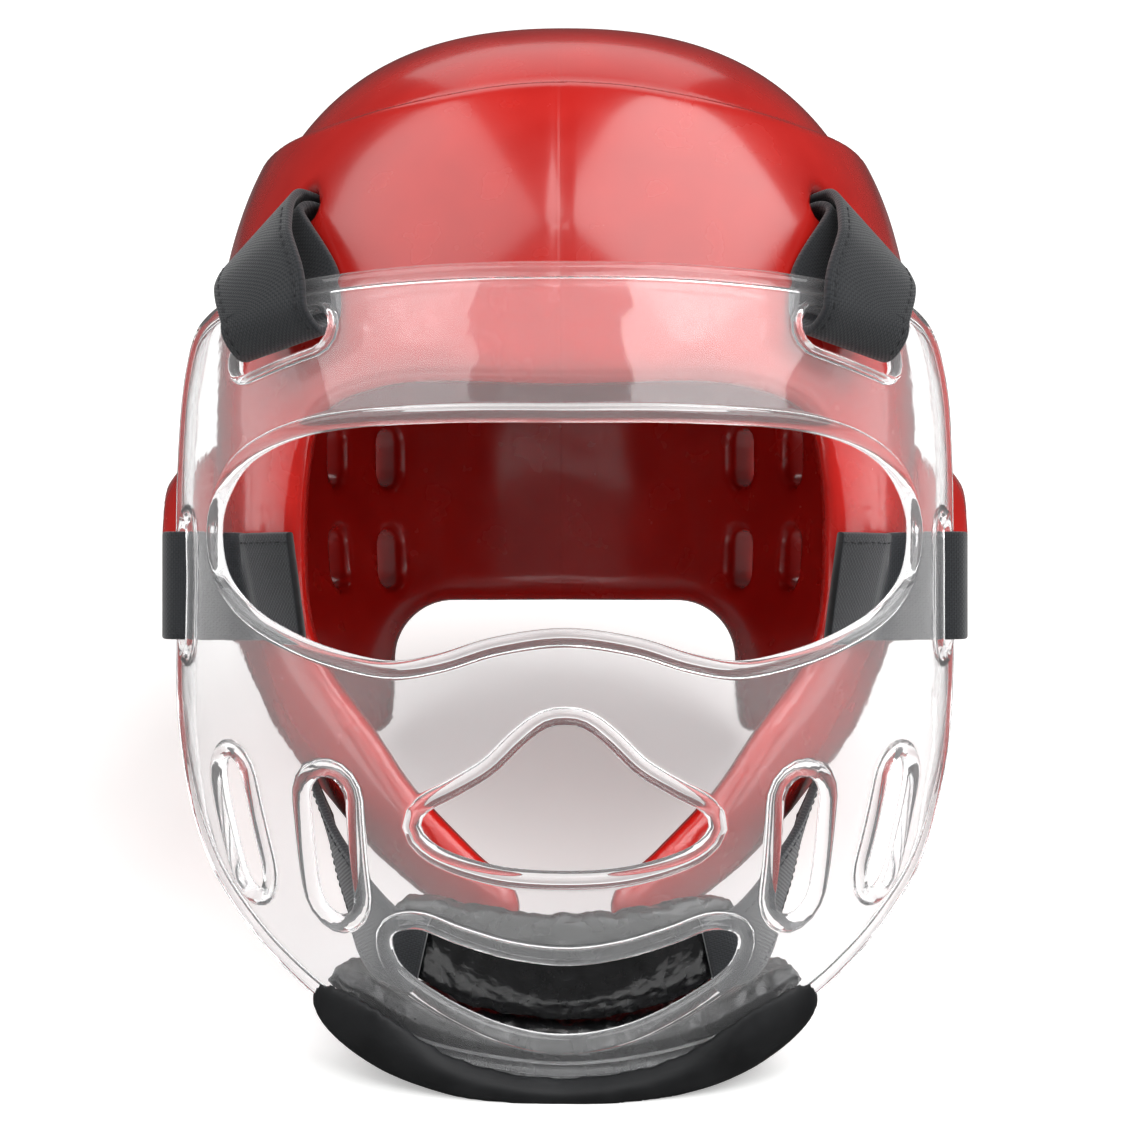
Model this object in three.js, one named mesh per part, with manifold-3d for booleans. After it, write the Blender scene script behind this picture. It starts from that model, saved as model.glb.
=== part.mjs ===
// Karate headgear: a dipped foam helmet and a clear face shield that hangs on four
// hook-and-loop straps, with a chin strap and its cup, and a foam pad on the shield's chin.
//
// Millimetres. Everything is modelled in the head's frame: the origin lies between the
// ears, +X is to the viewer's right, +Y to the back of the head and +Z up. The finished
// group leans back until the chin pad and the nape stand on the surface, with +Z up.

import * as THREE from 'three';
import Module from 'manifold-3d';
import { mergeVertices } from 'three/addons/utils/BufferGeometryUtils.js';
import { TessellateModifier } from 'three/addons/modifiers/TessellateModifier.js';

const wasm = await Module();
wasm.setup();

const fitGap = 0.35;              // between pieces that touch
const contactFlat = 2.0;          // foam pressed flat where the headgear stands

// Helmet
const helmetHalfWidth = 94;
const helmetFront = 107;
const helmetBack = 112;
const helmetWall = 15;
const bandApex = 145.5;           // top of the dome that the forehead band follows
const domeBase = 30;              // level of the widest section
const jawDepth = 122;             // from the widest section down to the chin
const planPower = 2.2;            // squareness of a level section
const domePower = 2.6;            // squareness of the dome
const crownStep = 4;              // the crown lies this far inside the band
const capShare = 0.45;            // width of the dome's flat top in shares of the ring below
const bandRimHeight = 114;        // middle of the forehead band's rim, above the ears
const bandRimSlope = 0.05;        // the rim falls towards the back
const faceHalfWidth = 62;
const browHeight = 42;
const faceLength = 142;           // brow to chin gap
const chinGapShare = 0.84;        // the gap starts this far down the face opening
const chinGapHalfWidth = 11;
const napeHalfWidth = 50;
const napeTop = -11;
const napeCornerRadius = 16;
const cutterStart = 20;           // face and nape openings are cut from here outwards
const earCup = { y: 12, z: 7, radius: 28, centreX: helmetHalfWidth - 7, bulge: 25.5 };
const earHoleRadius = 11;
const earDishRadius = 17;
const backVent = { width: 8, height: 17, levels: [32, 2], angles: [39, 55] };
const crownVent = { width: 11, length: 26, x: helmetHalfWidth / 2, y: 14 };

// Straps
const strapWidth = 27;
const strapThickness = 2;
const strapFlap = 11;             // length inside the helmet, each way
const slitDepthShare = 1.25;      // the wall is this much thicker along a slit
const slit = { x: 0.755 * helmetHalfWidth, z: 82.5, fallAngle: 36 };
const sideStrapLevel = -5;
const sideStrapPatch = { from: 0.68, to: 0.83, steps: 4 };   // in shares of the half width
const chinStrapLift = 2.5;        // how far it bows away from the helmet

// Face shield
const shieldSide = 3;             // the shield stands this far outside the helmet
const shieldHalfWidth = helmetHalfWidth + shieldSide;
const shieldTop = 71;
const shieldBottom = -124;
const shieldReach = 122;          // front of the shield, ahead of the ears
const shieldEdge = 40;            // side edge of the shield, ahead of the ears
const plateWall = 2.2;
const plateEdge = 26;             // longest edge of a facet of the bent plate
const beadWidth = 4.6;
const beadThickness = 4.4;
const eyeSide = 13;               // shield beside the eye opening, seen from the front
const eyeOpening = { halfWidth: shieldHalfWidth - eyeSide, top: 33, height: 55 };
const mouthOpening = { halfWidth: 33.5, top: -36.5, height: 34 };
const chinOpening = { halfWidth: 41, top: -85, height: 26 };
// Across is a share of the shield's half width
const innerVent = { across: 0.567, z: -66, width: 11, height: 33, leanAngle: 2 };
const outerVent = { across: 0.804, z: -62, width: 12.5, height: 32, leanAngle: -9 };
const upperSlot = { across: 0.706, z: 53, width: 33, height: 8.4, leanAngle: -14 };
const slotBead = 2.4;             // narrower bead round an upper slot
const barHalfHeight = 4.6;        // shield above an upper slot
const barBow = 1.9;               // how far the bar curves away across a strap
const sideSlot = { turnAngle: 75, z: sideStrapLevel, width: 7, height: strapWidth + 5 };

// Chin pad, chin strap and cup
const padHalfLength = 55.5;
const padLip = 6.4;               // foam outside the shield's lower edge
const padInner = 14;
const padReach = 12;              // its ends lie this far above the shield's lowest point
const padGap = 0.9;               // between the pad's groove and the bead in it
const padEndSize = 0.42;
const cup = {
  halfWidth: 42, z: -99.5, rise: 8, halfHeight: 14.5, thickness: 8, setBack: 6.6, endSize: 0.5,
};
const chinStrapWidth = 20;
const chinStrapAnchor = { x: 0.65 * helmetHalfWidth, z: -56 };

const jawProfile = [
  { down: 0.00, width: 1.000, front: 1.000, back: 1.00 },
  { down: 0.25, width: 0.990, front: 0.993, back: 1.00 },
  { down: 0.41, width: 0.930, front: 0.975, back: 0.98 },
  { down: 0.57, width: 0.840, front: 0.950, back: 0.94 },
  { down: 0.72, width: 0.710, front: 0.930, back: 0.87 },
  { down: 0.84, width: 0.610, front: 0.910, back: 0.78 },
  { down: 1.00, width: 0.470, front: 0.870, back: 0.66 },
];

// Shares of the shield's half width, of its edge's place and of its reach
const shieldProfile = [
  { down: 0.000, width: 0.885, edge: 1.25, reach: 0.900 },
  { down: 0.056, width: 0.940, edge: 1.17, reach: 0.917 },
  { down: 0.138, width: 0.980, edge: 1.10, reach: 0.943 },
  { down: 0.250, width: 0.997, edge: 1.03, reach: 0.977 },
  { down: 0.364, width: 1.000, edge: 1.00, reach: 0.996 },
  { down: 0.544, width: 0.995, edge: 1.03, reach: 1.000 },
  { down: 0.672, width: 0.965, edge: 1.07, reach: 0.980 },
  { down: 0.774, width: 0.920, edge: 1.10, reach: 0.943 },
  { down: 0.872, width: 0.840, edge: 1.15, reach: 0.885 },
  { down: 0.938, width: 0.760, edge: 1.20, reach: 0.823 },
  { down: 1.000, width: 0.670, edge: 1.25, reach: 0.753 },
];

// Half outlines seen from the front, from the top centre round to the bottom centre:
// across is a share of the half width, down a share of the height
const shieldOutline = [
  { across: 0.000, down: 0.000 }, { across: 0.350, down: 0.003 }, { across: 0.600, down: 0.012 },
  { across: 0.750, down: 0.022 }, { across: 0.880, down: 0.040 }, { across: 0.945, down: 0.075 },
  { across: 0.975, down: 0.125 }, { across: 0.992, down: 0.250 }, { across: 0.995, down: 0.400 },
  { across: 0.990, down: 0.550 }, { across: 0.953, down: 0.652 }, { across: 0.887, down: 0.742 },
  { across: 0.818, down: 0.793 }, { across: 0.722, down: 0.847 }, { across: 0.577, down: 0.906 },
  { across: 0.350, down: 0.962 }, { across: 0.000, down: 0.990 },
];
const eyeOutline = [
  { across: 0.00, down: 0.00 }, { across: 0.36, down: 0.00 }, { across: 0.68, down: 0.03 },
  { across: 0.84, down: 0.10 }, { across: 0.94, down: 0.21 }, { across: 1.00, down: 0.40 },
  { across: 0.99, down: 0.58 }, { across: 0.92, down: 0.74 }, { across: 0.76, down: 0.89 },
  { across: 0.60, down: 0.97 }, { across: 0.47, down: 1.00 }, { across: 0.35, down: 0.97 },
  { across: 0.20, down: 0.90 }, { across: 0.00, down: 0.86 },
];
const mouthOutline = [
  { across: 0.00, down: 0.00 }, { across: 0.12, down: 0.02 }, { across: 0.27, down: 0.13 },
  { across: 0.48, down: 0.33 }, { across: 0.74, down: 0.49 }, { across: 0.95, down: 0.61 },
  { across: 1.00, down: 0.70 }, { across: 0.91, down: 0.82 }, { across: 0.50, down: 0.96 },
  { across: 0.00, down: 1.00 },
];
const chinOutline = [
  { across: 0.00, down: 0.31 }, { across: 0.32, down: 0.25 }, { across: 0.61, down: 0.12 },
  { across: 0.84, down: 0.00 }, { across: 0.99, down: 0.08 }, { across: 0.96, down: 0.33 },
  { across: 0.73, down: 0.62 }, { across: 0.44, down: 0.86 }, { across: 0.20, down: 0.97 },
  { across: 0.00, down: 1.00 },
];

// The face opening runs down between the cheek guards to the gap at the chin
const faceOutline = [
  { across: 0.00, down: 0.000 }, { across: 0.70, down: 0.000 }, { across: 0.94, down: 0.045 },
  { across: 1.00, down: 0.130 }, { across: 1.00, down: 0.390 }, { across: 0.93, down: 0.465 },
  { across: 0.74, down: 0.577 }, { across: 0.58, down: 0.676 }, { across: 0.34, down: 0.782 },
  { across: 0.19, down: 0.850 }, { across: 0.18, down: 1.000 },
];

// Lower edge of the helmet seen from the side, in shares of the plan's half lengths
// and of the depth below the ears
const lowerEdge = [
  { along: -1.30, down: 1.00 }, { along: -0.84, down: 0.985 }, { along: -0.57, down: 0.85 },
  { along: -0.28, down: 0.64 }, { along: 0.00, down: 0.52 }, { along: 0.27, down: 0.50 },
  { along: 0.54, down: 0.55 }, { along: 0.76, down: 0.58 }, { along: 1.30, down: 0.58 },
];

// How far the forehead band's rim falls from its middle, against shares of the half width
const bandRim = [
  { across: 0.00, fall: 0.0 }, { across: 0.15, fall: 0.8 }, { across: 0.32, fall: 2.9 },
  { across: 0.49, fall: 5.1 }, { across: 0.64, fall: 6.9 }, { across: 0.80, fall: 7.5 },
  { across: 1.70, fall: 7.6 },
];

// Chin pad in millimetres from the shield's edge, against shares of the pad's half length:
// the lip reaches over and under the edge, and the inner part stands behind it
const padProfile = [
  { across: 0.00, over: 3.6, under: 2.7, inner: 9.0 },
  { across: 0.44, over: 5.6, under: 4.4, inner: 8.6 },
  { across: 0.70, over: 10.8, under: 3.9, inner: 9.0 },
  { across: 0.86, over: 13.5, under: 2.6, inner: 9.0 },
  { across: 1.00, over: 14.0, under: 0.8, inner: 8.0 },
];

const finishes = {
  dippedFoam: new THREE.MeshStandardMaterial({ color: 0xc8101a, roughness: 0.3, metalness: 0 }),
  clearShield: new THREE.MeshStandardMaterial({
    color: 0xeef1f4, roughness: 0.06, metalness: 0, transparent: true, opacity: 0.3,
  }),
  webbing: new THREE.MeshStandardMaterial({ color: 0x1d1f23, roughness: 0.85, metalness: 0 }),
  foamPad: new THREE.MeshStandardMaterial({ color: 0x2b2d2f, roughness: 0.6, metalness: 0 }),
  padVinyl: new THREE.MeshStandardMaterial({ color: 0x151617, roughness: 0.3, metalness: 0 }),
};

// Value of one column of a table at a share, along a smooth curve through its rows
function readTable(rows, column, key, at) {
  const last = rows.length - 1;
  let i = 0;
  while (i < last - 1 && rows[i + 1][column] < at) i += 1;
  const slope = (k) => {
    const a = rows[Math.max(k - 1, 0)];
    const b = rows[Math.min(k + 1, last)];
    return (b[key] - a[key]) / (b[column] - a[column]);
  };
  const [from, to] = [rows[i], rows[i + 1]];
  const span = to[column] - from[column];
  const t = Math.min(Math.max((at - from[column]) / span, 0), 1);
  const rise = to[key] - from[key];
  const bend = (1 - t) * slope(i) * span - t * slope(i + 1) * span + (2 * t - 1) * rise;
  return from[key] + t * rise + t * (1 - t) * bend;
}

// Half lengths of the helmet's level section, this far inside its outer face
function helmetSection(z, inset) {
  if (z > domeBase) {
    const climb = Math.min((z - domeBase) / (bandApex - inset - domeBase), 1);
    const share = (1 - climb ** domePower) ** (1 / domePower);
    return {
      halfWidth: (helmetHalfWidth - inset) * share,
      front: (helmetFront - inset) * share,
      back: (helmetBack - inset) * share,
    };
  }
  const down = (domeBase - z) / jawDepth;
  return {
    halfWidth: helmetHalfWidth * readTable(jawProfile, 'down', 'width', down) - inset,
    front: helmetFront * readTable(jawProfile, 'down', 'front', down) - inset,
    back: helmetBack * readTable(jawProfile, 'down', 'back', down) - inset,
  };
}

// Turn is 0 at the front centre and grows to the right, once round in 2 pi
function helmetPoint(turn, z, inset = 0) {
  const { halfWidth, front, back } = helmetSection(z, inset);
  const round = (value) => Math.sign(value) * Math.abs(value) ** (2 / planPower);
  const along = round(-Math.cos(turn));
  return new THREE.Vector3(halfWidth * round(Math.sin(turn)), along * (along < 0 ? front : back), z);
}

function helmetTurn(x, z) {
  const share = Math.min(Math.abs(x) / helmetSection(z, 0).halfWidth, 1);
  return Math.sign(x) * Math.asin(share ** (planPower / 2));
}

function surfaceFrame(pointAt, u, v, step) {
  const across = pointAt(u + step.u, v).sub(pointAt(u - step.u, v)).normalize();
  const up = pointAt(u, v + step.v).sub(pointAt(u, v - step.v)).normalize();
  const normal = across.clone().cross(up).normalize();
  return { point: pointAt(u, v), across, up, normal };
}

function helmetFrame(x, z) {
  return surfaceFrame((u, v) => helmetPoint(u, v), helmetTurn(x, z), z, { u: 0.02, v: 1 });
}

const shieldHeight = shieldTop - shieldBottom;
const turnLength = 90;            // millimetres of unrolled shield for each radian

function shieldSection(z) {
  const down = (shieldTop - z) / shieldHeight;
  const read = (key) => readTable(shieldProfile, 'down', key, down);
  return {
    halfWidth: shieldHalfWidth * read('width'),
    edge: -shieldEdge * read('edge'),
    front: -shieldReach * read('reach'),
  };
}

// The shield's middle surface, from its unrolled place
function shieldPoint(u, z) {
  const { halfWidth, edge, front } = shieldSection(z);
  const turn = u / turnLength;
  const y = edge + (front - edge) * Math.cos(turn);
  return new THREE.Vector3(halfWidth * Math.sin(turn), y, z);
}

function shieldFrame(u, z) {
  return surfaceFrame(shieldPoint, u, z, { u: 0.5, v: 0.5 });
}

function shieldOffset(u, z, height) {
  const { point, normal } = shieldFrame(u, z);
  return point.addScaledVector(normal, height);
}

// Place on the unrolled shield of a point seen from the front
function unroll(x, z) {
  const share = Math.min(Math.abs(x) / shieldSection(z).halfWidth, 0.996);
  return new THREE.Vector2(Math.sign(x) * Math.asin(share) * turnLength, z);
}

function smoothLoop(points, count) {
  const lifted = points.map((p) => new THREE.Vector3(p.x, p.y, 0));
  const curve = new THREE.CatmullRomCurve3(lifted, true, 'centripetal');
  return curve.getSpacedPoints(count).slice(0, count).map((p) => new THREE.Vector2(p.x, p.y));
}

// Whole outline from a half table, both halves alike, counter-clockwise
function mirroredPoints(rows, { halfWidth, top, height }) {
  const place = ({ across, down }) => new THREE.Vector2(across * halfWidth, top - down * height);
  const right = rows.map(place);
  const left = right.filter((p) => p.x > 0).reverse().map((p) => new THREE.Vector2(-p.x, p.y));
  return [...right, ...left].reverse();
}

function shieldLoop(rows, size, count) {
  const points = mirroredPoints(rows, size);
  return smoothLoop(points.map((p) => unroll(p.x, p.y)), count);
}

// A slot with round ends, its long side up before it leans
function capsule(centre, width, height, lean, arcSteps) {
  const radius = Math.min(width, height) / 2;
  const reach = Math.abs(height - width) / 2;
  const upright = height > width;
  const points = [];
  for (let end = 0; end < 2; end += 1) {
    for (let k = 0; k <= arcSteps; k += 1) {
      const turn = Math.PI * (end + k / arcSteps);
      const x = radius * Math.cos(turn);
      const y = radius * Math.sin(turn) + (end === 0 ? reach : -reach);
      points.push(upright ? new THREE.Vector2(x, y) : new THREE.Vector2(y, -x));
    }
  }
  const angle = THREE.MathUtils.degToRad(lean);
  return points.map((p) => p.rotateAround(new THREE.Vector2(), angle).add(centre));
}

// A counter-clockwise loop moved outwards by a distance, or inwards where that is negative
function offsetLoop(loop, distance) {
  return loop.map((p, i) => {
    const before = loop[(i + loop.length - 1) % loop.length];
    const after = loop[(i + 1) % loop.length];
    const along = after.clone().sub(before).normalize();
    return new THREE.Vector2(p.x + along.y * distance, p.y - along.x * distance);
  });
}

function toSolid(geometry) {
  const bare = geometry.clone();
  for (const name of Object.keys(bare.attributes)) {
    if (name !== 'position') bare.deleteAttribute(name);
  }
  const merged = mergeVertices(bare, 1e-3);
  const mesh = new wasm.Mesh({
    numProp: 3,
    vertProperties: new Float32Array(merged.attributes.position.array),
    triVerts: new Uint32Array(merged.index.array),
  });
  mesh.merge();
  return new wasm.Manifold(mesh);
}

function toGeometry(solid) {
  const mesh = solid.getMesh();
  const geometry = new THREE.BufferGeometry();
  const positions = new Float32Array(mesh.vertProperties);
  geometry.setAttribute('position', new THREE.BufferAttribute(positions, 3));
  geometry.setIndex(new THREE.BufferAttribute(new Uint32Array(mesh.triVerts), 1));
  geometry.computeVertexNormals();
  return geometry;
}

// One closed body through rings of equally many points, its ends closed by fans
function loft(rings) {
  const count = rings[0].length;
  const positions = rings.flat().flatMap((p) => [p.x, p.y, p.z]);
  const index = [];
  for (let j = 0; j < rings.length - 1; j += 1) {
    for (let i = 0; i < count; i += 1) {
      const a = j * count + i;
      const b = j * count + ((i + 1) % count);
      index.push(a, b, b + count, a, b + count, a + count);
    }
  }
  const close = (ring, first, turned) => {
    const centre = ring.reduce((sum, p) => sum.add(p), new THREE.Vector3()).divideScalar(count);
    const middle = positions.length / 3;
    positions.push(centre.x, centre.y, centre.z);
    for (let i = 0; i < count; i += 1) {
      const pair = [first + i, first + ((i + 1) % count)];
      if (turned) pair.reverse();
      index.push(pair[0], pair[1], middle);
    }
  };
  close(rings[0], 0, true);
  close(rings.at(-1), (rings.length - 1) * count, false);
  const geometry = new THREE.BufferGeometry();
  geometry.setAttribute('position', new THREE.BufferAttribute(new Float32Array(positions), 3));
  geometry.setIndex(index);
  return facingOut(geometry);
}

function signedVolume(geometry) {
  const p = geometry.attributes.position;
  const [a, b, c] = [new THREE.Vector3(), new THREE.Vector3(), new THREE.Vector3()];
  let total = 0;
  for (let i = 0; i < geometry.index.count; i += 3) {
    a.fromBufferAttribute(p, geometry.index.getX(i));
    b.fromBufferAttribute(p, geometry.index.getX(i + 1));
    c.fromBufferAttribute(p, geometry.index.getX(i + 2));
    total += a.dot(b.cross(c)) / 6;
  }
  return total;
}

function facingOut(geometry) {
  if (signedVolume(geometry) < 0) {
    const index = geometry.index.array;
    for (let i = 0; i < index.length; i += 3) [index[i], index[i + 1]] = [index[i + 1], index[i]];
  }
  return geometry;
}

// A prism of a flat outline, standing on the plane of across and up
function prism(outline, depth, origin, across, up) {
  const shape = new THREE.Shape(outline);
  const geometry = new THREE.ExtrudeGeometry(shape, { depth, bevelEnabled: false });
  const normal = across.clone().cross(up).normalize();
  const frame = new THREE.Matrix4().makeBasis(across, up, normal).setPosition(origin);
  return toSolid(geometry.applyMatrix4(frame));
}

// The foam between the outer face and this inset, as a closed body
function domeSolid(inset, columns, lowerRows, domeRows) {
  const bottom = domeBase - jawDepth;
  const rings = [];
  const levels = [];
  for (let k = 0; k <= lowerRows; k += 1) levels.push(bottom + (jawDepth * k) / lowerRows);
  for (let k = 1; k < domeRows; k += 1) {
    const climb = Math.sin((Math.PI / 2) * (k / domeRows)) ** (2 / domePower);
    levels.push(domeBase + (bandApex - inset - domeBase) * climb);
  }
  for (const z of levels) {
    const ring = [];
    for (let i = 0; i < columns; i += 1) {
      ring.push(helmetPoint((2 * Math.PI * i) / columns, z, inset));
    }
    rings.push(ring);
  }
  const apex = bandApex - inset;
  const top = new THREE.Vector3(capShare, capShare, 0);
  rings.push(rings.at(-1).map((p) => p.clone().multiply(top).setZ(apex)));
  return toSolid(loft(rings));
}

const xAxis = new THREE.Vector3(1, 0, 0);
const yAxis = new THREE.Vector3(0, 1, 0);
const zAxis = new THREE.Vector3(0, 0, 1);
const beyond = 60;                // how far a cutter stands past what it cuts

// Everything above the forehead band's rim, which falls to both sides and to the back
function aboveRim() {
  const reach = helmetBack + beyond;
  const right = bandRim.map(({ across, fall }) => new THREE.Vector2(across * helmetHalfWidth, -fall));
  const left = right.slice(1).reverse().map((p) => new THREE.Vector2(-p.x, p.y));
  const wide = right.at(-1).x;
  const top = [new THREE.Vector2(wide, 2 * beyond), new THREE.Vector2(-wide, 2 * beyond)];
  const tilt = Math.atan(bandRimSlope);
  const up = zAxis.clone().applyAxisAngle(xAxis, -tilt);
  const start = new THREE.Vector3(0, -reach, bandRimHeight + bandRimSlope * reach);
  return prism([...left, ...right, ...top], 2 * reach, start, xAxis.clone().negate(), up);
}

function faceCutter() {
  const size = { halfWidth: faceHalfWidth, top: browHeight, height: faceLength };
  const points = mirroredPoints(faceOutline, size);
  for (const p of points) {
    if (p.y < browHeight - chinGapShare * faceLength) p.x = Math.sign(p.x) * chinGapHalfWidth;
  }
  const start = new THREE.Vector3(0, -cutterStart, 0);
  return prism(points, helmetFront + beyond, start, xAxis, zAxis);
}

function napeCutter() {
  const outline = new THREE.Shape();
  const floor = domeBase - jawDepth - beyond;
  const corner = new THREE.Vector2(napeHalfWidth - napeCornerRadius, napeTop - napeCornerRadius);
  outline.moveTo(-napeHalfWidth, floor);
  outline.lineTo(napeHalfWidth, floor);
  outline.lineTo(napeHalfWidth, corner.y);
  outline.absarc(corner.x, corner.y, napeCornerRadius, 0, Math.PI / 2);
  outline.lineTo(-corner.x, napeTop);
  outline.absarc(-corner.x, corner.y, napeCornerRadius, Math.PI / 2, Math.PI);
  const start = new THREE.Vector3(0, helmetBack + beyond, 0);
  return prism(outline.getPoints(6), helmetBack + beyond - cutterStart, start, xAxis, zAxis);
}

function lowerCutter() {
  const depth = jawDepth - domeBase;
  const edge = lowerEdge.map((row) => {
    const along = row.along * (row.along < 0 ? helmetFront : helmetBack);
    return new THREE.Vector3(along, -row.down * depth, 0);
  });
  const curve = new THREE.CatmullRomCurve3(edge).getPoints(20).map((p) => new THREE.Vector2(p.x, p.y));
  const floor = -depth - beyond;
  const below = [edge.at(-1), edge[0]].map((p) => new THREE.Vector2(p.x, floor));
  const outline = [...curve, ...below];
  const start = new THREE.Vector3(-helmetHalfWidth - beyond, 0, 0);
  return prism(outline, 2 * (helmetHalfWidth + beyond), start, yAxis, zAxis);
}

function earSolid(side) {
  const ball = new THREE.SphereGeometry(1, 20, 10);
  ball.scale(earCup.bulge, earCup.radius, earCup.radius);
  ball.translate(side * earCup.centreX, earCup.y, earCup.z);
  return toSolid(ball);
}

function earCutter(side) {
  const dish = new THREE.CylinderGeometry(earDishRadius, earHoleRadius, earCup.bulge, 18);
  dish.rotateZ(-side * Math.PI / 2);
  dish.translate(side * (earCup.centreX + earCup.bulge), earCup.y, earCup.z);
  const hole = new THREE.CylinderGeometry(earHoleRadius, earHoleRadius, 2 * beyond, 18);
  hole.rotateZ(Math.PI / 2);
  hole.translate(side * (earCup.centreX + 5), earCup.y, earCup.z);
  return toSolid(dish).add(toSolid(hole));
}

function backVentCutters() {
  const outline = capsule(new THREE.Vector2(), backVent.width, backVent.height, 0, 3);
  const cutters = [];
  for (const level of backVent.levels) {
    for (const angle of backVent.angles) {
      for (const side of [-1, 1]) {
        const turn = Math.PI - side * THREE.MathUtils.degToRad(angle);
        const outward = new THREE.Vector3(Math.sin(turn), -Math.cos(turn), 0);
        const across = zAxis.clone().cross(outward);
        const origin = helmetPoint(turn, level).addScaledVector(outward, -beyond / 2);
        cutters.push(prism(outline, beyond, origin, across, zAxis));
      }
    }
  }
  return cutters;
}

function crownVentCutters() {
  const outline = capsule(new THREE.Vector2(), crownVent.width, crownVent.length, 0, 4);
  return [-1, 1].map((side) => {
    const origin = new THREE.Vector3(side * crownVent.x, crownVent.y, bandApex - beyond);
    return prism(outline, beyond, origin, xAxis, yAxis);
  });
}

// The frame turned on its surface, with the way down across it
function turnedFrame({ point, across, up, normal }, degrees) {
  const turn = THREE.MathUtils.degToRad(degrees);
  const along = across.clone().multiplyScalar(Math.cos(turn)).addScaledVector(up, Math.sin(turn));
  along.normalize();
  return { point, normal, along, down: along.clone().cross(normal).normalize() };
}

// Frame of the right upper slit: its length runs down and outwards along the foam
function slitFrame() {
  return turnedFrame(helmetFrame(slit.x, slit.z), -slit.fallAngle);
}

function slitCutter() {
  const { point, normal, along, down } = slitFrame();
  const height = 2 * strapThickness + 12 * fitGap;
  const block = new THREE.BoxGeometry(strapWidth + 4 * fitGap, height, beyond);
  const place = new THREE.Matrix4().makeBasis(along, down.negate(), normal).setPosition(point);
  return toSolid(block.applyMatrix4(place));
}

// The same solid on the other side of the head
function mirrored(solid) {
  return toSolid(facingOut(toGeometry(solid).scale(-1, 1, 1)));
}

function helmetSolid() {
  const band = domeSolid(0, 40, 8, 9).subtract(aboveRim());
  const cavity = domeSolid(helmetWall, 32, 7, 7);
  let shell = band.add(domeSolid(crownStep, 32, 5, 8));
  for (const side of [-1, 1]) shell = shell.add(earSolid(side));
  shell = shell.subtract(cavity).subtract(faceCutter()).subtract(napeCutter());
  shell = shell.subtract(lowerCutter());
  for (const side of [-1, 1]) shell = shell.subtract(earCutter(side));
  shell = shell.subtract(slitCutter()).subtract(mirrored(slitCutter()));
  for (const cutter of [...backVentCutters(), ...crownVentCutters()]) shell = shell.subtract(cutter);
  return shell;
}

const shieldSize = { halfWidth: shieldHalfWidth, top: shieldTop, height: shieldHeight };
const shieldEdgeLoop = shieldLoop(shieldOutline, shieldSize, 52);

function sideLoop(opening, side, arcSteps) {
  const centre = unroll(side * opening.across * shieldHalfWidth, opening.z);
  return capsule(centre, opening.width, opening.height, side * opening.leanAngle, arcSteps);
}

// Edge of each opening, and the width of the bead round it
function openings() {
  const list = [
    { loop: shieldLoop(eyeOutline, eyeOpening, 36), bead: beadWidth },
    { loop: shieldLoop(mouthOutline, mouthOpening, 22), bead: beadWidth },
    { loop: shieldLoop(chinOutline, chinOpening, 22), bead: beadWidth },
  ];
  for (const side of [-1, 1]) {
    const turned = side * THREE.MathUtils.degToRad(sideSlot.turnAngle) * turnLength;
    const place = new THREE.Vector2(turned, sideSlot.z);
    list.push(
      { loop: sideLoop(innerVent, side, 4), bead: beadWidth },
      { loop: sideLoop(outerVent, side, 4), bead: beadWidth },
      { loop: sideLoop(upperSlot, side, 4), bead: slotBead },
      { loop: capsule(place, sideSlot.width, sideSlot.height, 0, 3), bead: beadWidth },
    );
  }
  return list;
}

// The shield as one body: a thin plate, and a thick bead along its edge and each opening
function shieldSolid() {
  const holes = openings();
  const seats = holes.map(({ loop, bead }) => offsetLoop(loop, bead));
  const edgeSeat = offsetLoop(shieldEdgeLoop, -beadWidth);
  const corners = [];
  const facet = (a, b, c) => corners.push(a, b, c);
  const at = (p, height) => ({ u: p.x, z: p.y, height });
  const quad = (a, b, c, d) => { facet(a, b, c); facet(a, c, d); };
  const [thin, thick] = [plateWall / 2, beadThickness / 2];

  const shape = new THREE.Shape(edgeSeat);
  for (const seat of seats) shape.holes.push(new THREE.Path(seat));
  const flat = new THREE.ShapeGeometry(shape).toNonIndexed();
  const fine = new TessellateModifier(plateEdge, 30).modify(flat).attributes.position;
  for (let i = 0; i < fine.count; i += 3) {
    const three = [0, 1, 2].map((k) => ({ x: fine.getX(i + k), y: fine.getY(i + k) }));
    facet(...three.map((p) => at(p, thin)));
    facet(...three.reverse().map((p) => at(p, -thin)));
  }

  const rim = (outer, inner, edgeIsOuter) => {
    outer.forEach((p, i) => {
      const j = (i + 1) % outer.length;
      const [a, b, c, d] = [p, outer[j], inner[j], inner[i]];
      quad(at(a, thick), at(b, thick), at(c, thick), at(d, thick));
      quad(at(d, -thick), at(c, -thick), at(b, -thick), at(a, -thick));
      const outside = edgeIsOuter ? [[-thick, thick]] : [[-thick, -thin], [thin, thick]];
      const inside = edgeIsOuter ? [[-thick, -thin], [thin, thick]] : [[-thick, thick]];
      for (const [low, high] of outside) {
        quad(at(a, low), at(b, low), at(b, high), at(a, high));
      }
      for (const [low, high] of inside) {
        quad(at(c, low), at(d, low), at(d, high), at(c, high));
      }
    });
  };
  rim(shieldEdgeLoop, edgeSeat, true);
  holes.forEach(({ loop }, i) => rim(seats[i], loop, false));

  const points = corners.map((p) => shieldOffset(p.u, p.z, p.height));
  const geometry = new THREE.BufferGeometry().setFromPoints(points);
  return toSolid(facingOut(mergeVertices(geometry, 1e-3)));
}

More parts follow.
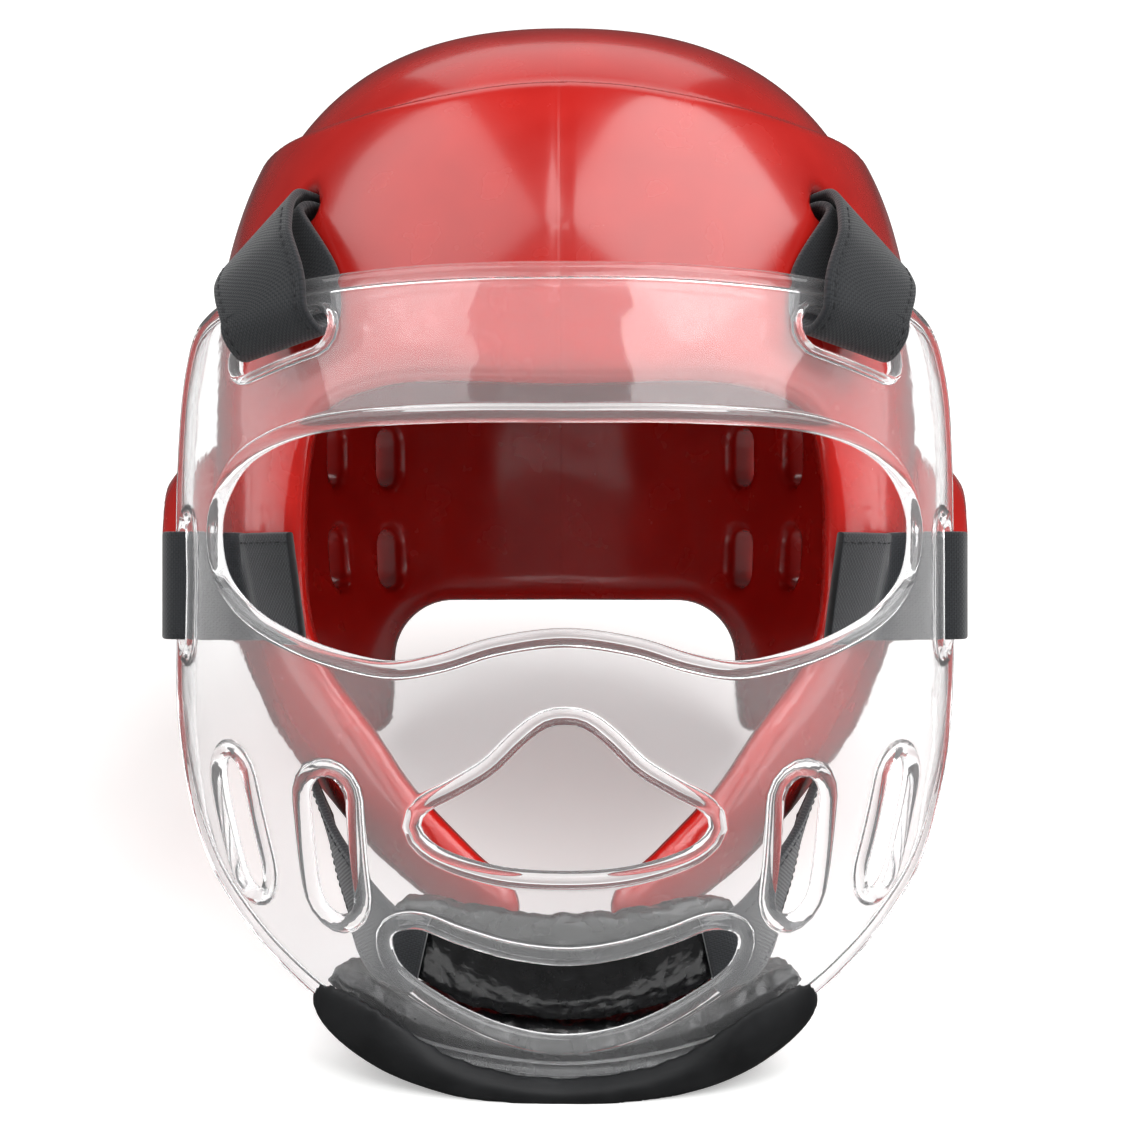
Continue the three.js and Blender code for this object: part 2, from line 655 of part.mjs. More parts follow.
// A woven band along a path of { point, along }, where along is the band's width direction
function bandSolid(path, width, steps) {
  const curve = new THREE.CatmullRomCurve3(path.map((row) => row.point), false, 'centripetal');
  const widths = new THREE.CatmullRomCurve3(path.map((row) => row.along), false, 'centripetal');
  const rings = [];
  for (let k = 0; k <= steps; k += 1) {
    const t = k / steps;
    const point = curve.getPoint(t);
    const tangent = curve.getTangent(t);
    const along = widths.getPoint(t).projectOnPlane(tangent).setLength(width / 2);
    const normal = tangent.clone().cross(along).setLength(strapThickness / 2);
    rings.push([[-1, -1], [1, -1], [1, 1], [-1, 1]].map(([a, b]) => (
      point.clone().addScaledVector(along, a).addScaledVector(normal, b)
    )));
  }
  return toSolid(loft(rings));
}

// Frame of the bar above the right upper slot of the shield
function barFrame() {
  const rise = barHalfHeight + upperSlot.height / 2 + fitGap;
  const place = unroll(upperSlot.across * shieldHalfWidth, upperSlot.z + rise);
  return turnedFrame(shieldFrame(place.x, place.y), upperSlot.leanAngle);
}

// Out of the helmet's slit, round the shield's bar, back in, with a flap each way inside
function upperStrap() {
  const at = (frame, out, fall) => ({
    point: frame.point.clone().addScaledVector(frame.normal, out).addScaledVector(frame.down, fall),
    along: frame.along.clone(),
  });
  const hole = slitFrame();
  const bar = barFrame();
  const layer = strapThickness / 2 + 1.5 * fitGap;
  const depth = helmetWall * slitDepthShare;
  const inside = -depth - strapFlap / 2;
  const clear = beadThickness / 2 + 3 * fitGap + strapThickness / 2;
  const bulge = {
    point: hole.point.clone().lerp(bar.point, 0.5).addScaledVector(bar.normal, clear + 5),
    along: hole.along.clone().lerp(bar.along, 0.5),
  };
  const front = clear + 1.2;
  const behind = -clear - barBow;
  const under = barHalfHeight + 0.5;
  return bandSolid([
    at(hole, inside, -strapFlap), at(hole, inside + 1, -2.2 * strapThickness),
    at(hole, -depth, -layer), at(hole, -depth / 2, -layer), at(hole, 1.5, -layer), bulge,
    at(bar, front + 0.6, 0), at(bar, front - 0.4, under + 1), at(bar, -0.5, barHalfHeight + 5),
    at(bar, behind, under), at(bar, behind - 0.5, -3), at(hole, 2.5, layer + 3.5),
    at(hole, -1, layer), at(hole, -depth / 2, layer), at(hole, -depth, layer),
    at(hole, inside + 1, 2.2 * strapThickness), at(hole, inside, strapFlap),
  ], strapWidth, 44);
}

// From the helmet's right temple out through the shield's slot and round its edge
function sideStrap() {
  const skin = fitGap + strapThickness / 2;
  const { from, to, steps } = sideStrapPatch;
  const onHelmet = (k) => {
    const x = (from + ((to - from) * k) / steps) * helmetHalfWidth;
    const { point, normal, up } = helmetFrame(x, sideStrapLevel);
    return { point: point.addScaledVector(normal, skin + 0.25), along: up };
  };
  const onShield = (turn, out) => ({
    point: shieldOffset(THREE.MathUtils.degToRad(turn) * turnLength, sideStrapLevel, out),
    along: zAxis.clone(),
  });
  const clear = beadThickness / 2 + skin;
  const widest = Math.max(...shieldEdgeLoop.map((p) => p.x));
  const edge = THREE.MathUtils.radToDeg(widest / turnLength);
  const hole = sideSlot.turnAngle;
  return bandSolid([
    ...Array.from({ length: steps + 1 }, (_, k) => onHelmet(k)),
    onShield(hole - 1.5, -clear - 0.6), onShield(hole + 0.4, 1.6),
    onShield(hole + 2.4, clear + 0.8), onShield(edge - 2.2, clear + 1.05),
    onShield(edge + 1, 3.2), onShield(edge + 1.8, 0),
    onShield(edge + 1, -3.2), onShield(edge - 1, -clear - 0.6), onShield(edge - 3.6, -clear - 0.5),
  ], strapWidth, 34);
}

// Lower edge of the shield at a place across it, with the way out of the sheet
function edgeFrame(x) {
  const lower = shieldEdgeLoop.filter((p) => p.y < shieldBottom + shieldHeight / 3);
  const ordered = lower.sort((a, b) => a.x - b.x);
  const u = (x / padHalfLength) * unroll(padHalfLength, shieldBottom + padReach).x;
  const level = (at) => {
    const next = ordered.findIndex((p) => p.x >= at);
    const [a, b] = [ordered[next - 1], ordered[next]];
    return a.y + ((b.y - a.y) * (at - a.x)) / (b.x - a.x);
  };
  const z = level(u);
  const frame = shieldFrame(u, z);
  const along = shieldPoint(u + 2, level(u + 2)).sub(shieldPoint(u - 2, level(u - 2)));
  const down = along.clone().cross(frame.normal).normalize();
  if (down.z > 0) down.negate();
  return { point: frame.point, normal: frame.normal, down };
}

function padRing(x, outline) {
  const { point, normal, down } = edgeFrame(x);
  return outline.map((p) => (
    point.clone().addScaledVector(normal, p.x).addScaledVector(down, p.y)
  ));
}

// Section of the chin pad at a share across it: the lip lies ahead of the shield's edge,
// the thicker part behind it
function padSection(across) {
  const groove = beadThickness / 2 + padGap;
  const [out, back] = [groove + padLip, -groove - padInner];
  const read = (key) => readTable(padProfile, 'across', key, Math.abs(across));
  const [over, under, inner] = [read('over'), read('under'), read('inner')];
  const outline = smoothLoop([
    new THREE.Vector2(groove - 0.08 * padLip, -over),
    new THREE.Vector2(out - 0.16 * padLip, -0.6 * over),
    new THREE.Vector2(out, 0.1 * under), new THREE.Vector2(out - 0.4 * padLip, 0.8 * under),
    new THREE.Vector2(0, under), new THREE.Vector2(back + 0.29 * padInner, 0.9 * under),
    new THREE.Vector2(back, -0.1 * inner),
    new THREE.Vector2(back + 0.14 * padInner, -0.85 * inner),
    new THREE.Vector2(-groove - 0.29 * padInner, -inner),
    new THREE.Vector2(-groove - 0.04 * padInner, -0.76 * inner),
  ], 18);
  const middle = new THREE.Vector2((out + back) / 2, (under - over) / 2);
  const size = padEndSize + (1 - padEndSize) * Math.sqrt(1 - Math.min(across ** 8, 1));
  return outline.map((p) => p.sub(middle).multiplyScalar(size).add(middle));
}

function padSolid() {
  const groove = beadThickness / 2 + padGap;
  const rings = [];
  const stations = 18;
  for (let k = 0; k <= stations; k += 1) {
    const across = -Math.cos((Math.PI * k) / stations);
    rings.push(padRing(across * padHalfLength, padSection(across)));
  }
  const cut = [
    new THREE.Vector2(-groove, -2 * padReach), new THREE.Vector2(groove, -2 * padReach),
    new THREE.Vector2(groove, padGap), new THREE.Vector2(-groove, padGap),
  ];
  const cutReach = 1.07 * padHalfLength;
  const cutRings = [];
  for (let k = 0; k <= stations; k += 1) {
    cutRings.push(padRing(((2 * k) / stations - 1) * cutReach, cut));
  }
  return toSolid(loft(rings)).subtract(toSolid(loft(cutRings)));
}

// Middle of the cup at a share across it
function cupPlace(share) {
  const z = cup.z + cup.rise * share ** 2;
  return new THREE.Vector2(unroll(share * cup.halfWidth, z).x, z);
}

function cupSolid() {
  const rings = [];
  const stations = 12;
  const sides = 12;
  for (let k = 0; k <= stations; k += 1) {
    const share = -Math.cos((Math.PI * k) / stations);
    const size = cup.endSize + (1 - cup.endSize) * Math.sqrt(Math.max(0, 1 - share ** 6));
    const place = cupPlace(share);
    const ring = [];
    for (let i = 0; i < sides; i += 1) {
      const turn = (2 * Math.PI * i) / sides;
      const round = (value) => Math.sign(value) * Math.abs(value) ** 0.6;
      const up = cup.halfHeight * size * round(Math.sin(turn));
      const out = -cup.setBack - cup.thickness / 2 + (cup.thickness / 2) * round(Math.cos(turn));
      ring.push(shieldOffset(place.x, place.y + up, out));
    }
    rings.push(ring);
  }
  return toSolid(loft(rings));
}

// From the right cheek guard's lower edge down to the end of the cup
function chinStrap() {
  const skin = fitGap + strapThickness / 2;
  const anchor = helmetFrame(chinStrapAnchor.x, chinStrapAnchor.z);
  const end = cupPlace(0.84);
  const near = cupPlace(1.04);
  const seat = shieldFrame(end.x, end.y);
  const start = anchor.point.addScaledVector(anchor.normal, skin + 0.6);
  const finish = shieldOffset(end.x, end.y, -cup.setBack + skin + 0.2);
  const before = shieldOffset(near.x, near.y, -cup.setBack + skin + 0.5);
  const middle = start.clone().lerp(before, 0.5).addScaledVector(anchor.normal, chinStrapLift);
  const way = before.clone().sub(start).normalize();
  const width = (normal) => normal.clone().cross(way).normalize();
  return bandSolid([
    { point: start, along: width(anchor.normal) },
    { point: middle, along: width(anchor.normal.clone().lerp(seat.normal, 0.5)) },
    { point: before, along: width(seat.normal) },
    { point: finish, along: width(seat.normal) },
  ], chinStrapWidth, 10);
}

// Lean at which the chin pad and the nape stand equally low
function restLean(padGeometry, shellGeometry) {
  const lowest = (geometry, lean) => {
    const p = geometry.attributes.position;
    let low = Infinity;
    for (let i = 0; i < p.count; i += 1) {
      if (geometry === padGeometry || p.getY(i) > 0) {
        low = Math.min(low, p.getY(i) * Math.sin(lean) + p.getZ(i) * Math.cos(lean));
      }
    }
    return low;
  };
  let [less, more] = [-Math.PI / 3, 0];
  for (let k = 0; k < 40; k += 1) {
    const lean = (less + more) / 2;
    if (lowest(padGeometry, lean) > lowest(shellGeometry, lean)) less = lean;
    else more = lean;
  }
  return { lean: less, floor: lowest(padGeometry, less) };
}

function makeMesh(name, solid, finish) {
  const mesh = new THREE.Mesh(toGeometry(solid), finish);
  mesh.name = name;
  return mesh;
}

const helmet = helmetSolid();
const pad = padSolid();
const { lean, floor } = restLean(toGeometry(pad), toGeometry(helmet));

// The surface, as a block that presses the foam flat where it stands
const surface = new THREE.BoxGeometry(6 * helmetHalfWidth, 6 * helmetBack, beyond);
surface.translate(0, 0, floor + contactFlat - beyond / 2);
surface.rotateX(-lean);
const surfaceSolid = toSolid(surface);

const leaning = new THREE.Group();
leaning.rotation.x = lean;
leaning.add(makeMesh('helmet_shell', helmet.subtract(surfaceSolid), finishes.dippedFoam));
leaning.add(makeMesh('face_shield', shieldSolid(), finishes.clearShield));
leaning.add(makeMesh('chin_pad', pad.subtract(surfaceSolid), finishes.foamPad));
leaning.add(makeMesh('chin_cup', cupSolid(), finishes.padVinyl));
const straps = { upper_strap: upperStrap(), side_strap: sideStrap(), chin_strap: chinStrap() };
for (const [name, strap] of Object.entries(straps)) {
  leaning.add(makeMesh(`${name}_right`, strap, finishes.webbing));
  leaning.add(makeMesh(`${name}_left`, mirrored(strap), finishes.webbing));
}

const headgear = new THREE.Group();
headgear.add(leaning);
headgear.updateMatrixWorld(true);
const box = new THREE.Box3().setFromObject(headgear, true);
const middle = box.getCenter(new THREE.Vector3());
leaning.position.set(-middle.x, -middle.y, -box.min.z);
headgear.updateMatrixWorld(true);

export default headgear;
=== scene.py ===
import math

import bmesh
import bpy
import numpy as np
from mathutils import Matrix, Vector, geometry, noise


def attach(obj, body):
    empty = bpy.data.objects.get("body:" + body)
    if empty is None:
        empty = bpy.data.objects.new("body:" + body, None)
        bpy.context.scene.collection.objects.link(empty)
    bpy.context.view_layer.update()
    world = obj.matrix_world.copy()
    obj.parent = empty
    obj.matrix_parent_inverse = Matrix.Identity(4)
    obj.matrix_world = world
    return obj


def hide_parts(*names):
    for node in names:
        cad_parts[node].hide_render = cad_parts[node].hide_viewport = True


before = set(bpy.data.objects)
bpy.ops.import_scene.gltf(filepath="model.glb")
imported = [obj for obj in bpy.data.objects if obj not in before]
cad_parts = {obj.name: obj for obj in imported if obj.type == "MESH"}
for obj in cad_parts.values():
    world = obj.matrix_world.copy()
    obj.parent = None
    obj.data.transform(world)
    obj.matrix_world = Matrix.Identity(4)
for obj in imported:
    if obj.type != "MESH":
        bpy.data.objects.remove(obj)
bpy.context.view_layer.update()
print("frame loaded")

# How the head's own frame (millimetres between the ears, +X right, +Y back) lies at rest
rest = {"lean": 23.689, "back": 6.300, "up": 76.008}
leanCos, leanSin = math.cos(math.radians(rest["lean"])), math.sin(math.radians(rest["lean"]))


def toRow(points):
    p = np.asarray(points, float)
    x, y, z = p[..., 0], p[..., 1], p[..., 2]
    back, up = leanCos * y + leanSin * z + rest["back"], leanCos * z - leanSin * y + rest["up"]
    return np.stack([x, back, up], -1) / 1000


def addObject(name, data):
    made = bpy.data.objects.new(name, data)
    bpy.context.scene.collection.objects.link(made)
    return made


# Camera, from where the photograph was taken
shot = {"distance": 0.8, "focal": 2960, "side": 1131, "sensor": 36}


def makeCamera():
    data = bpy.data.cameras.new("camera")
    data.sensor_width = shot["sensor"]
    data.lens = shot["focal"] / shot["side"] * shot["sensor"]
    data.clip_start, data.clip_end = 0.01, 60
    camera = addObject("camera", data)
    camera.location = Vector(toRow([0, -1000 * shot["distance"], 0]))
    camera.rotation_euler = (math.radians(90 - rest["lean"]), 0, 0)
    bpy.context.scene.camera = camera


makeCamera()


# Curves through tables of places, in millimetres
def readColumn(table, key, at):  # smooth curve through a table's rows, first column is the place
    xs, ys = np.array(list(table.values())[0], float), np.array(table[key], float)
    last = len(xs) - 1
    low, high = np.maximum(np.arange(last + 1) - 1, 0), np.minimum(np.arange(last + 1) + 1, last)
    slopes = (ys[high] - ys[low]) / (xs[high] - xs[low])
    at = np.asarray(at, float)
    i = np.clip(np.searchsorted(xs, at, side="left") - 1, 0, last - 1)
    span, rise = xs[i + 1] - xs[i], ys[i + 1] - ys[i]
    t = np.clip((at - xs[i]) / span, 0, 1)
    bend = (1 - t) * slopes[i] * span - t * slopes[i + 1] * span + (2 * t - 1) * rise
    return ys[i] + t * rise + t * (1 - t) * bend


def curveThrough(points, steps, closed=False):  # centripetal curve, equal steps between its points
    p = np.asarray(points, float)
    if closed:
        full = np.vstack([p[-1:], p, p[:2]])
    else:
        full = np.vstack([2 * p[:1] - p[1:2], p, 2 * p[-1:] - p[-2:-1]])
    count = len(full) - 3
    at = np.linspace(0, count, steps + 1)[: steps if closed else steps + 1]
    i = np.minimum(at.astype(int), count - 1)
    t = (at - i)[:, None]
    a, b, c, d = full[i], full[i + 1], full[i + 2], full[i + 3]
    knot = [np.maximum(np.linalg.norm(v - u, axis=1), 1e-6)[:, None] ** 0.5
            for u, v in ((a, b), (b, c), (c, d))]
    m = ((b - a) / knot[0] - (c - a) / (knot[0] + knot[1]) + (c - b) / knot[1]) * knot[1]
    n = ((c - b) / knot[1] - (d - b) / (knot[1] + knot[2]) + (d - c) / knot[2]) * knot[1]
    return b + m * t + (3 * (c - b) - 2 * m - n) * t ** 2 + (2 * (b - c) + m + n) * t ** 3


def runAlong(points):
    return np.concatenate([[0], np.cumsum(np.linalg.norm(np.diff(points, axis=0), axis=1))])


def readAlong(points, run, at):
    return np.stack([np.interp(at, run, points[:, k]) for k in range(points.shape[1])], 1)


def evenly(points, spacing):  # a closed outline with equal steps
    p = np.vstack([points, points[:1]])
    run = runAlong(p)
    count = max(int(round(run[-1] / spacing)), 3)
    return readAlong(p, run, np.linspace(0, run[-1], count + 1)[:count])


def unit(v):
    return v / np.maximum(np.linalg.norm(v, axis=-1, keepdims=True), 1e-9)


def grain(points, scale, octaves=3, seed=0.0):  # soft noise from -1 to 1
    return np.array([
        noise.fractal(Vector((p[0] / scale + seed, p[1] / scale, p[2] / scale)), 1.0, 2.0, octaves)
        for p in points
    ])


def creases(points, scale, seed=0.0):  # sharp wandering folds, 0 to about 1
    return np.array([
        1 - min(abs(noise.fractal(Vector((x / scale + seed, y / scale, z / scale)), 0.9, 2.1, 3)) * 2.6, 1)
        for x, y, z in points
    ])


def meshOf(name, points, faces):  # a closed mesh with its faces turned outwards
    mesh = bpy.data.meshes.new(name)
    mesh.from_pydata(toRow(points).tolist(), [], faces)
    work = bmesh.new()
    work.from_mesh(mesh)
    bmesh.ops.recalc_face_normals(work, faces=work.faces)
    if work.calc_volume(signed=True) < 0:
        bmesh.ops.reverse_faces(work, faces=work.faces)
    work.to_mesh(mesh)
    work.free()
    return mesh


def evaluated(holder, *others):  # the holder's finished mesh, with the objects behind it removed
    ready = bpy.data.meshes.new_from_object(holder.evaluated_get(bpy.context.evaluated_depsgraph_get()))
    for used in (holder, *others):
        bpy.data.objects.remove(used)
    return ready


def declare(name, mesh, slotName, *nodes):
    mesh.shade_smooth()
    piece = addObject(name, mesh)
    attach(piece, "root")
    if nodes:
        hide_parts(*nodes)
    return piece


def makePiece(name, points, faces, material, slotName, node):
    mesh = meshOf(name, points, faces)
    mesh.materials.append(material)
    return declare(name, mesh, slotName, node)


def tubeFaces(rings, n):  # quads between rings of n points, with both ends closed
    faces = [[r * n + i, r * n + (i + 1) % n, (r + 1) * n + (i + 1) % n, (r + 1) * n + i]
             for r in range(rings - 1) for i in range(n)]
    return faces + [list(range(n)), list(range((rings - 1) * n, rings * n))]


# Materials; sizes in them are in metres
def shaderOf(name, base, roughness, **fixed):
    material = bpy.data.materials.new(name)
    material.use_nodes = True
    tree = material.node_tree
    skin = next(n for n in tree.nodes if n.type == "BSDF_PRINCIPLED")
    skin.inputs["Base Color"].default_value = (*base, 1)
    skin.inputs["Roughness"].default_value = roughness
    for key, value in fixed.items():
        skin.inputs[key].default_value = value
    return material, tree, skin


def newGroup(name, ins, outs, kind="ShaderNodeTree"):
    group = bpy.data.node_groups.new(name, kind)
    for label, holds, value in ins:
        socket = group.interface.new_socket(name=label, in_out="INPUT", socket_type="NodeSocket" + holds)
        if value is not None:
            socket.default_value = value
    for label, holds in outs:
        group.interface.new_socket(name=label, in_out="OUTPUT", socket_type="NodeSocket" + holds)
    return group, group.nodes.new("NodeGroupInput"), group.nodes.new("NodeGroupOutput")


def feed(tree, node, values):  # each value is a number or another node's output
    for key, value in values.items():
        if isinstance(value, (int, float)):
            node.inputs[key].default_value = value
        else:
            tree.links.new(value, node.inputs[key])


def mathNode(tree, operation, *values):
    node = tree.nodes.new("ShaderNodeMath")
    node.operation = operation
    feed(tree, node, dict(enumerate(values)))
    return node.outputs[0]


def noiseNode(tree, vector, scale, detail):
    node = tree.nodes.new("ShaderNodeTexNoise")
    feed(tree, node, {"Vector": vector, "Scale": scale, "Detail": detail, "Roughness": 0.5})
    return node.outputs["Fac"]


def buildPeel():  # skin of a dipped or coated foam: fine orange peel over slow waves
    group, start, end = newGroup(
        "dippedSkin",
        [("Vector", "Vector", None), ("Fine", "Float", 1400.0), ("Slow", "Float", 60.0),
         ("Slow share", "Float", 1.0)],
        [("Height", "Float"), ("Blotches", "Float")])
    fine = noiseNode(group, start.outputs["Vector"], start.outputs["Fine"], 2)
    slow = noiseNode(group, start.outputs["Vector"], start.outputs["Slow"], 2)
    waves = mathNode(group, "MULTIPLY", slow, start.outputs["Slow share"])
    height = mathNode(group, "ADD", mathNode(group, "MULTIPLY", fine, 0.25), waves)
    group.links.new(height, end.inputs["Height"])
    group.links.new(slow, end.inputs["Blotches"])
    return group


def buildWeave():  # over and under threads from the band's own places, in metres
    group, start, end = newGroup(
        "bandWeave",
        [("Vector", "Vector", None), ("Thread", "Float", 0.0009), ("Half width", "Float", 0.0135)],
        [("Height", "Float"), ("Fuzz and painted weave shade", "Float")])
    split = group.nodes.new("ShaderNodeSeparateXYZ")
    group.links.new(start.outputs["Vector"], split.inputs[0])
    threads = [mathNode(group, "DIVIDE", split.outputs[k], start.outputs["Thread"]) for k in (0, 1)]
    sines = [mathNode(group, "SINE", mathNode(group, "MULTIPLY", thread, math.pi)) for thread in threads]
    warp, weft = (mathNode(group, "ABSOLUTE", sine) for sine in sines)
    over = mathNode(group, "MULTIPLY", *sines)
    side = mathNode(group, "GREATER_THAN", over, 0.0)
    height = mathNode(group, "ADD", mathNode(group, "MULTIPLY", warp, side),
                      mathNode(group, "MULTIPLY", weft, mathNode(group, "SUBTRACT", 1.0, side)))
    # a firmer selvedge line near both edges
    across = mathNode(group, "ABSOLUTE", split.outputs[0])
    inset = mathNode(group, "SUBTRACT", start.outputs["Half width"], across)
    away = mathNode(group, "ABSOLUTE", mathNode(group, "SUBTRACT", inset, 0.0018))
    line = mathNode(group, "LESS_THAN", away, 0.00035)
    relief = mathNode(group, "SUBTRACT", height, mathNode(group, "MULTIPLY", line, 1.5))
    group.links.new(relief, end.inputs["Height"])
    # colour: random fuzz times the thread height, a painted shade that darkens the weave where threads dip
    # under
    fuzz = noiseNode(group, start.outputs["Vector"], 2500.0, 3)
    group.links.new(mathNode(group, "MULTIPLY", height, fuzz), end.inputs["Fuzz and painted weave shade"])
    return group


peel, weave = buildPeel(), buildWeave()


def placeGroup(tree, group, values):
    node = tree.nodes.new("ShaderNodeGroup")
    node.node_tree = group
    feed(tree, node, values)
    return node


def bump(tree, skin, height, strength, distance):
    node = tree.nodes.new("ShaderNodeBump")
    feed(tree, node, {"Strength": strength, "Distance": distance, "Height": height})
    tree.links.new(node.outputs[0], skin.inputs["Normal"])


def colourRamp(tree, factor, stops):
    node = tree.nodes.new("ShaderNodeValToRGB")
    ramp = node.color_ramp
    while len(ramp.elements) < len(stops):
        ramp.elements.new(0.5)
    for element, (place, colour) in zip(ramp.elements, stops):
        element.position = place
        element.color = (*colour, 1)
    tree.links.new(factor, node.inputs[0])
    return node.outputs[0]


def makeSkin(name, look, **fixed):  # a mottled skin with fine relief, over the piece's own places
    material, tree, skin = shaderOf(name, look["high"], look["rough"][0], **fixed)
    place = tree.nodes.new("ShaderNodeTexCoord").outputs["Object"]
    fine, slow, share = look["grain"]
    texture = placeGroup(tree, peel, {"Vector": place, "Fine": fine, "Slow": slow, "Slow share": share})
    height = texture.outputs["Height"]
    if "seam" in look:  # the moulding seam runs over the middle, front to back
        middle, half, depth = look["seam"]
        split = tree.nodes.new("ShaderNodeSeparateXYZ")
        tree.links.new(place, split.inputs[0])
        away = mathNode(tree, "ABSOLUTE", mathNode(tree, "SUBTRACT", split.outputs[0], middle))
        near = mathNode(tree, "MINIMUM", mathNode(tree, "DIVIDE", away, half), 1.0)
        groove = mathNode(tree, "MULTIPLY", mathNode(tree, "SUBTRACT", 1.0, near), depth)
        height = mathNode(tree, "SUBTRACT", height, groove)
    bump(tree, skin, height, *look["bump"])
    stops = [(0.3, look["low"]), (0.7, look["high"])]
    tree.links.new(colourRamp(tree, texture.outputs["Blotches"], stops), skin.inputs["Base Color"])
    if len(look["rough"]) > 1:
        least, spread, scale, detail = look["rough"]
        worn = mathNode(tree, "MULTIPLY", noiseNode(tree, place, scale, detail), spread)
        tree.links.new(mathNode(tree, "ADD", least, worn), skin.inputs["Roughness"])
    return material


def makeClear():
    material, tree, skin = shaderOf("clearPlastic", (0.985, 0.985, 0.99), 0.03, **{
        "Transmission Weight": 0.93, "IOR": 1.49, "Specular IOR Level": 1.2})
    place = tree.nodes.new("ShaderNodeTexCoord").outputs["Object"]
    texture = placeGroup(tree, peel, {"Vector": place, "Fine": 260.0, "Slow": 70.0, "Slow share": 1.0})
    bump(tree, skin, texture.outputs["Height"], 0.07, 0.0006)
    rough = mathNode(tree, "ADD", 0.02, mathNode(tree, "MULTIPLY", texture.outputs["Blotches"], 0.04))
    tree.links.new(rough, skin.inputs["Roughness"])
    out = next(n for n in tree.nodes if n.type == "OUTPUT_MATERIAL")
    through = tree.nodes.new("ShaderNodeBsdfTransparent")
    through.inputs[0].default_value = (0.93, 0.94, 0.95, 1)
    path = tree.nodes.new("ShaderNodeLightPath")
    mix = tree.nodes.new("ShaderNodeMixShader")
    feed(tree, mix, {0: path.outputs["Is Shadow Ray"], 1: skin.outputs[0], 2: through.outputs[0]})
    tree.links.new(mix.outputs[0], out.inputs["Surface"])
    return material


def makeWebbing():
    look = {"low": (0.005, 0.0055, 0.0065), "high": (0.024, 0.027, 0.032), "thread": 0.00062,
            "halfWidth": 0.0135}
    material, tree, skin = shaderOf("wovenBand", look["high"], 0.8, **{
        "Sheen Weight": 0.35, "Sheen Roughness": 0.5, "Specular IOR Level": 0.3})
    place = tree.nodes.new("ShaderNodeUVMap")
    place.uv_map = "band"
    threads = placeGroup(tree, weave, {
        "Vector": place.outputs[0], "Thread": look["thread"], "Half width": look["halfWidth"]})
    bump(tree, skin, threads.outputs["Height"], 0.4, 0.0002)
    # the ramp paints shade into the low places of the weave; the fuzz in it is random tone of the yarn
    stops = [(0.05, look["low"]), (0.5, look["high"])]
    tree.links.new(colourRamp(tree, threads.outputs["Fuzz and painted weave shade"], stops), skin.inputs["Base Color"])
    return material


clearPlastic, wovenBand = makeClear(), makeWebbing()
dippedRed = makeSkin("dippedRed", {
    "low": (0.50, 0.009, 0.006), "high": (0.62, 0.014, 0.009), "grain": (1300.0, 45.0, 0.6),
    "bump": (0.14, 0.0006), "seam": (-0.0012, 0.0006, 0.9), "rough": (0.2, 0.12, 90.0, 3),
}, **{"Coat Weight": 0.9, "Coat Roughness": 0.13, "Specular IOR Level": 0.6})
matteFoam = makeSkin("matteFoam", {
    "low": (0.008, 0.0083, 0.0092), "high": (0.017, 0.0175, 0.019), "grain": (1500.0, 80.0, 0.5),
    "bump": (0.25, 0.0005), "rough": (0.4, 0.2, 160.0, 4),
}, **{"Specular IOR Level": 0.3})
creasedVinyl = makeSkin("creasedVinyl", {
    "low": (0.003, 0.003, 0.0034), "high": (0.012, 0.012, 0.013), "grain": (900.0, 240.0, 1.4),
    "bump": (0.55, 0.0008), "rough": (0.16, 0.2, 220.0, 4),
}, **{"Coat Weight": 0.4, "Coat Roughness": 0.15, "Specular IOR Level": 0.6})
blackThread = makeSkin("blackThread", {
    "low": (0.012, 0.012, 0.014), "high": (0.035, 0.036, 0.04), "grain": (4000.0, 900.0, 0.6),
    "bump": (0.5, 0.0002), "rough": (0.6,),
})
print("materials made")

# Helmet: a field of distances to its skin, turned into an even mesh
helmet = {
    "halfWidth": 94, "front": 107, "back": 112, "wall": 15, "apex": 145.5, "base": 30, "jaw": 122,
    "planPower": 2.2, "domePower": 2.6, "crownStep": 4, "rimHeight": 114, "rimSlope": 0.05,
    "faceHalf": 62, "brow": 42, "faceLength": 142, "gapShare": 0.84, "gapHalf": 11, "cutStart": 20,
    "napeHalf": 50, "napeTop": -11, "napeCorner": 16,
    "earY": 12, "earZ": 7, "earRadius": 28, "earX": 87, "earBulge": 25.5,
    "earHole": 11, "earDish": 17, "earStart": 50,
    "ventHalf": (4.0, 8.5), "ventLevels": (32, 2), "ventAngles": (39, 55),
    "crownVentHalf": (5.5, 13.0), "crownVentAt": (47, 14), "crownStart": 89,
    "slitX": 71, "slitZ": 82.5, "slitFall": 36, "slitHalf": (14.2, 4.1),
    "netBox": ((-110, -112, -96), (110, 118, 156)), "cell": 2.0, "wave": 0.22, "rimRound": 2.6,
    "seamX": -1.2, "seamDepth": 0.3, "seamHalf": 1.3,
}
jawProfile = {
    "down": (0, 0.25, 0.41, 0.57, 0.72, 0.84, 1),
    "width": (1, 0.990, 0.930, 0.840, 0.710, 0.610, 0.470),
    "front": (1, 0.993, 0.975, 0.950, 0.930, 0.910, 0.870),
    "back": (1, 1, 0.98, 0.94, 0.87, 0.78, 0.66),
}
faceOutline = {
    "down": (0, 0, 0.045, 0.13, 0.39, 0.465, 0.577, 0.676, 0.782, 0.85, 1),
    "across": (0, 0.7, 0.94, 1, 1, 0.93, 0.74, 0.58, 0.34, 0.19, 0.18),
}
bandRim = {  # how far the forehead band's rim falls from its middle, in millimetres
    "across": (0, 0.15, 0.32, 0.49, 0.64, 0.80, 1.7),
    "fall": (0, 0.8, 2.9, 5.1, 6.9, 7.5, 7.6),
}
lowerEdge = {
    "along": (-1.3, -0.84, -0.57, -0.28, 0, 0.27, 0.54, 0.76, 1.3),
    "down": (1, 0.985, 0.85, 0.64, 0.52, 0.5, 0.55, 0.58, 0.58),
}


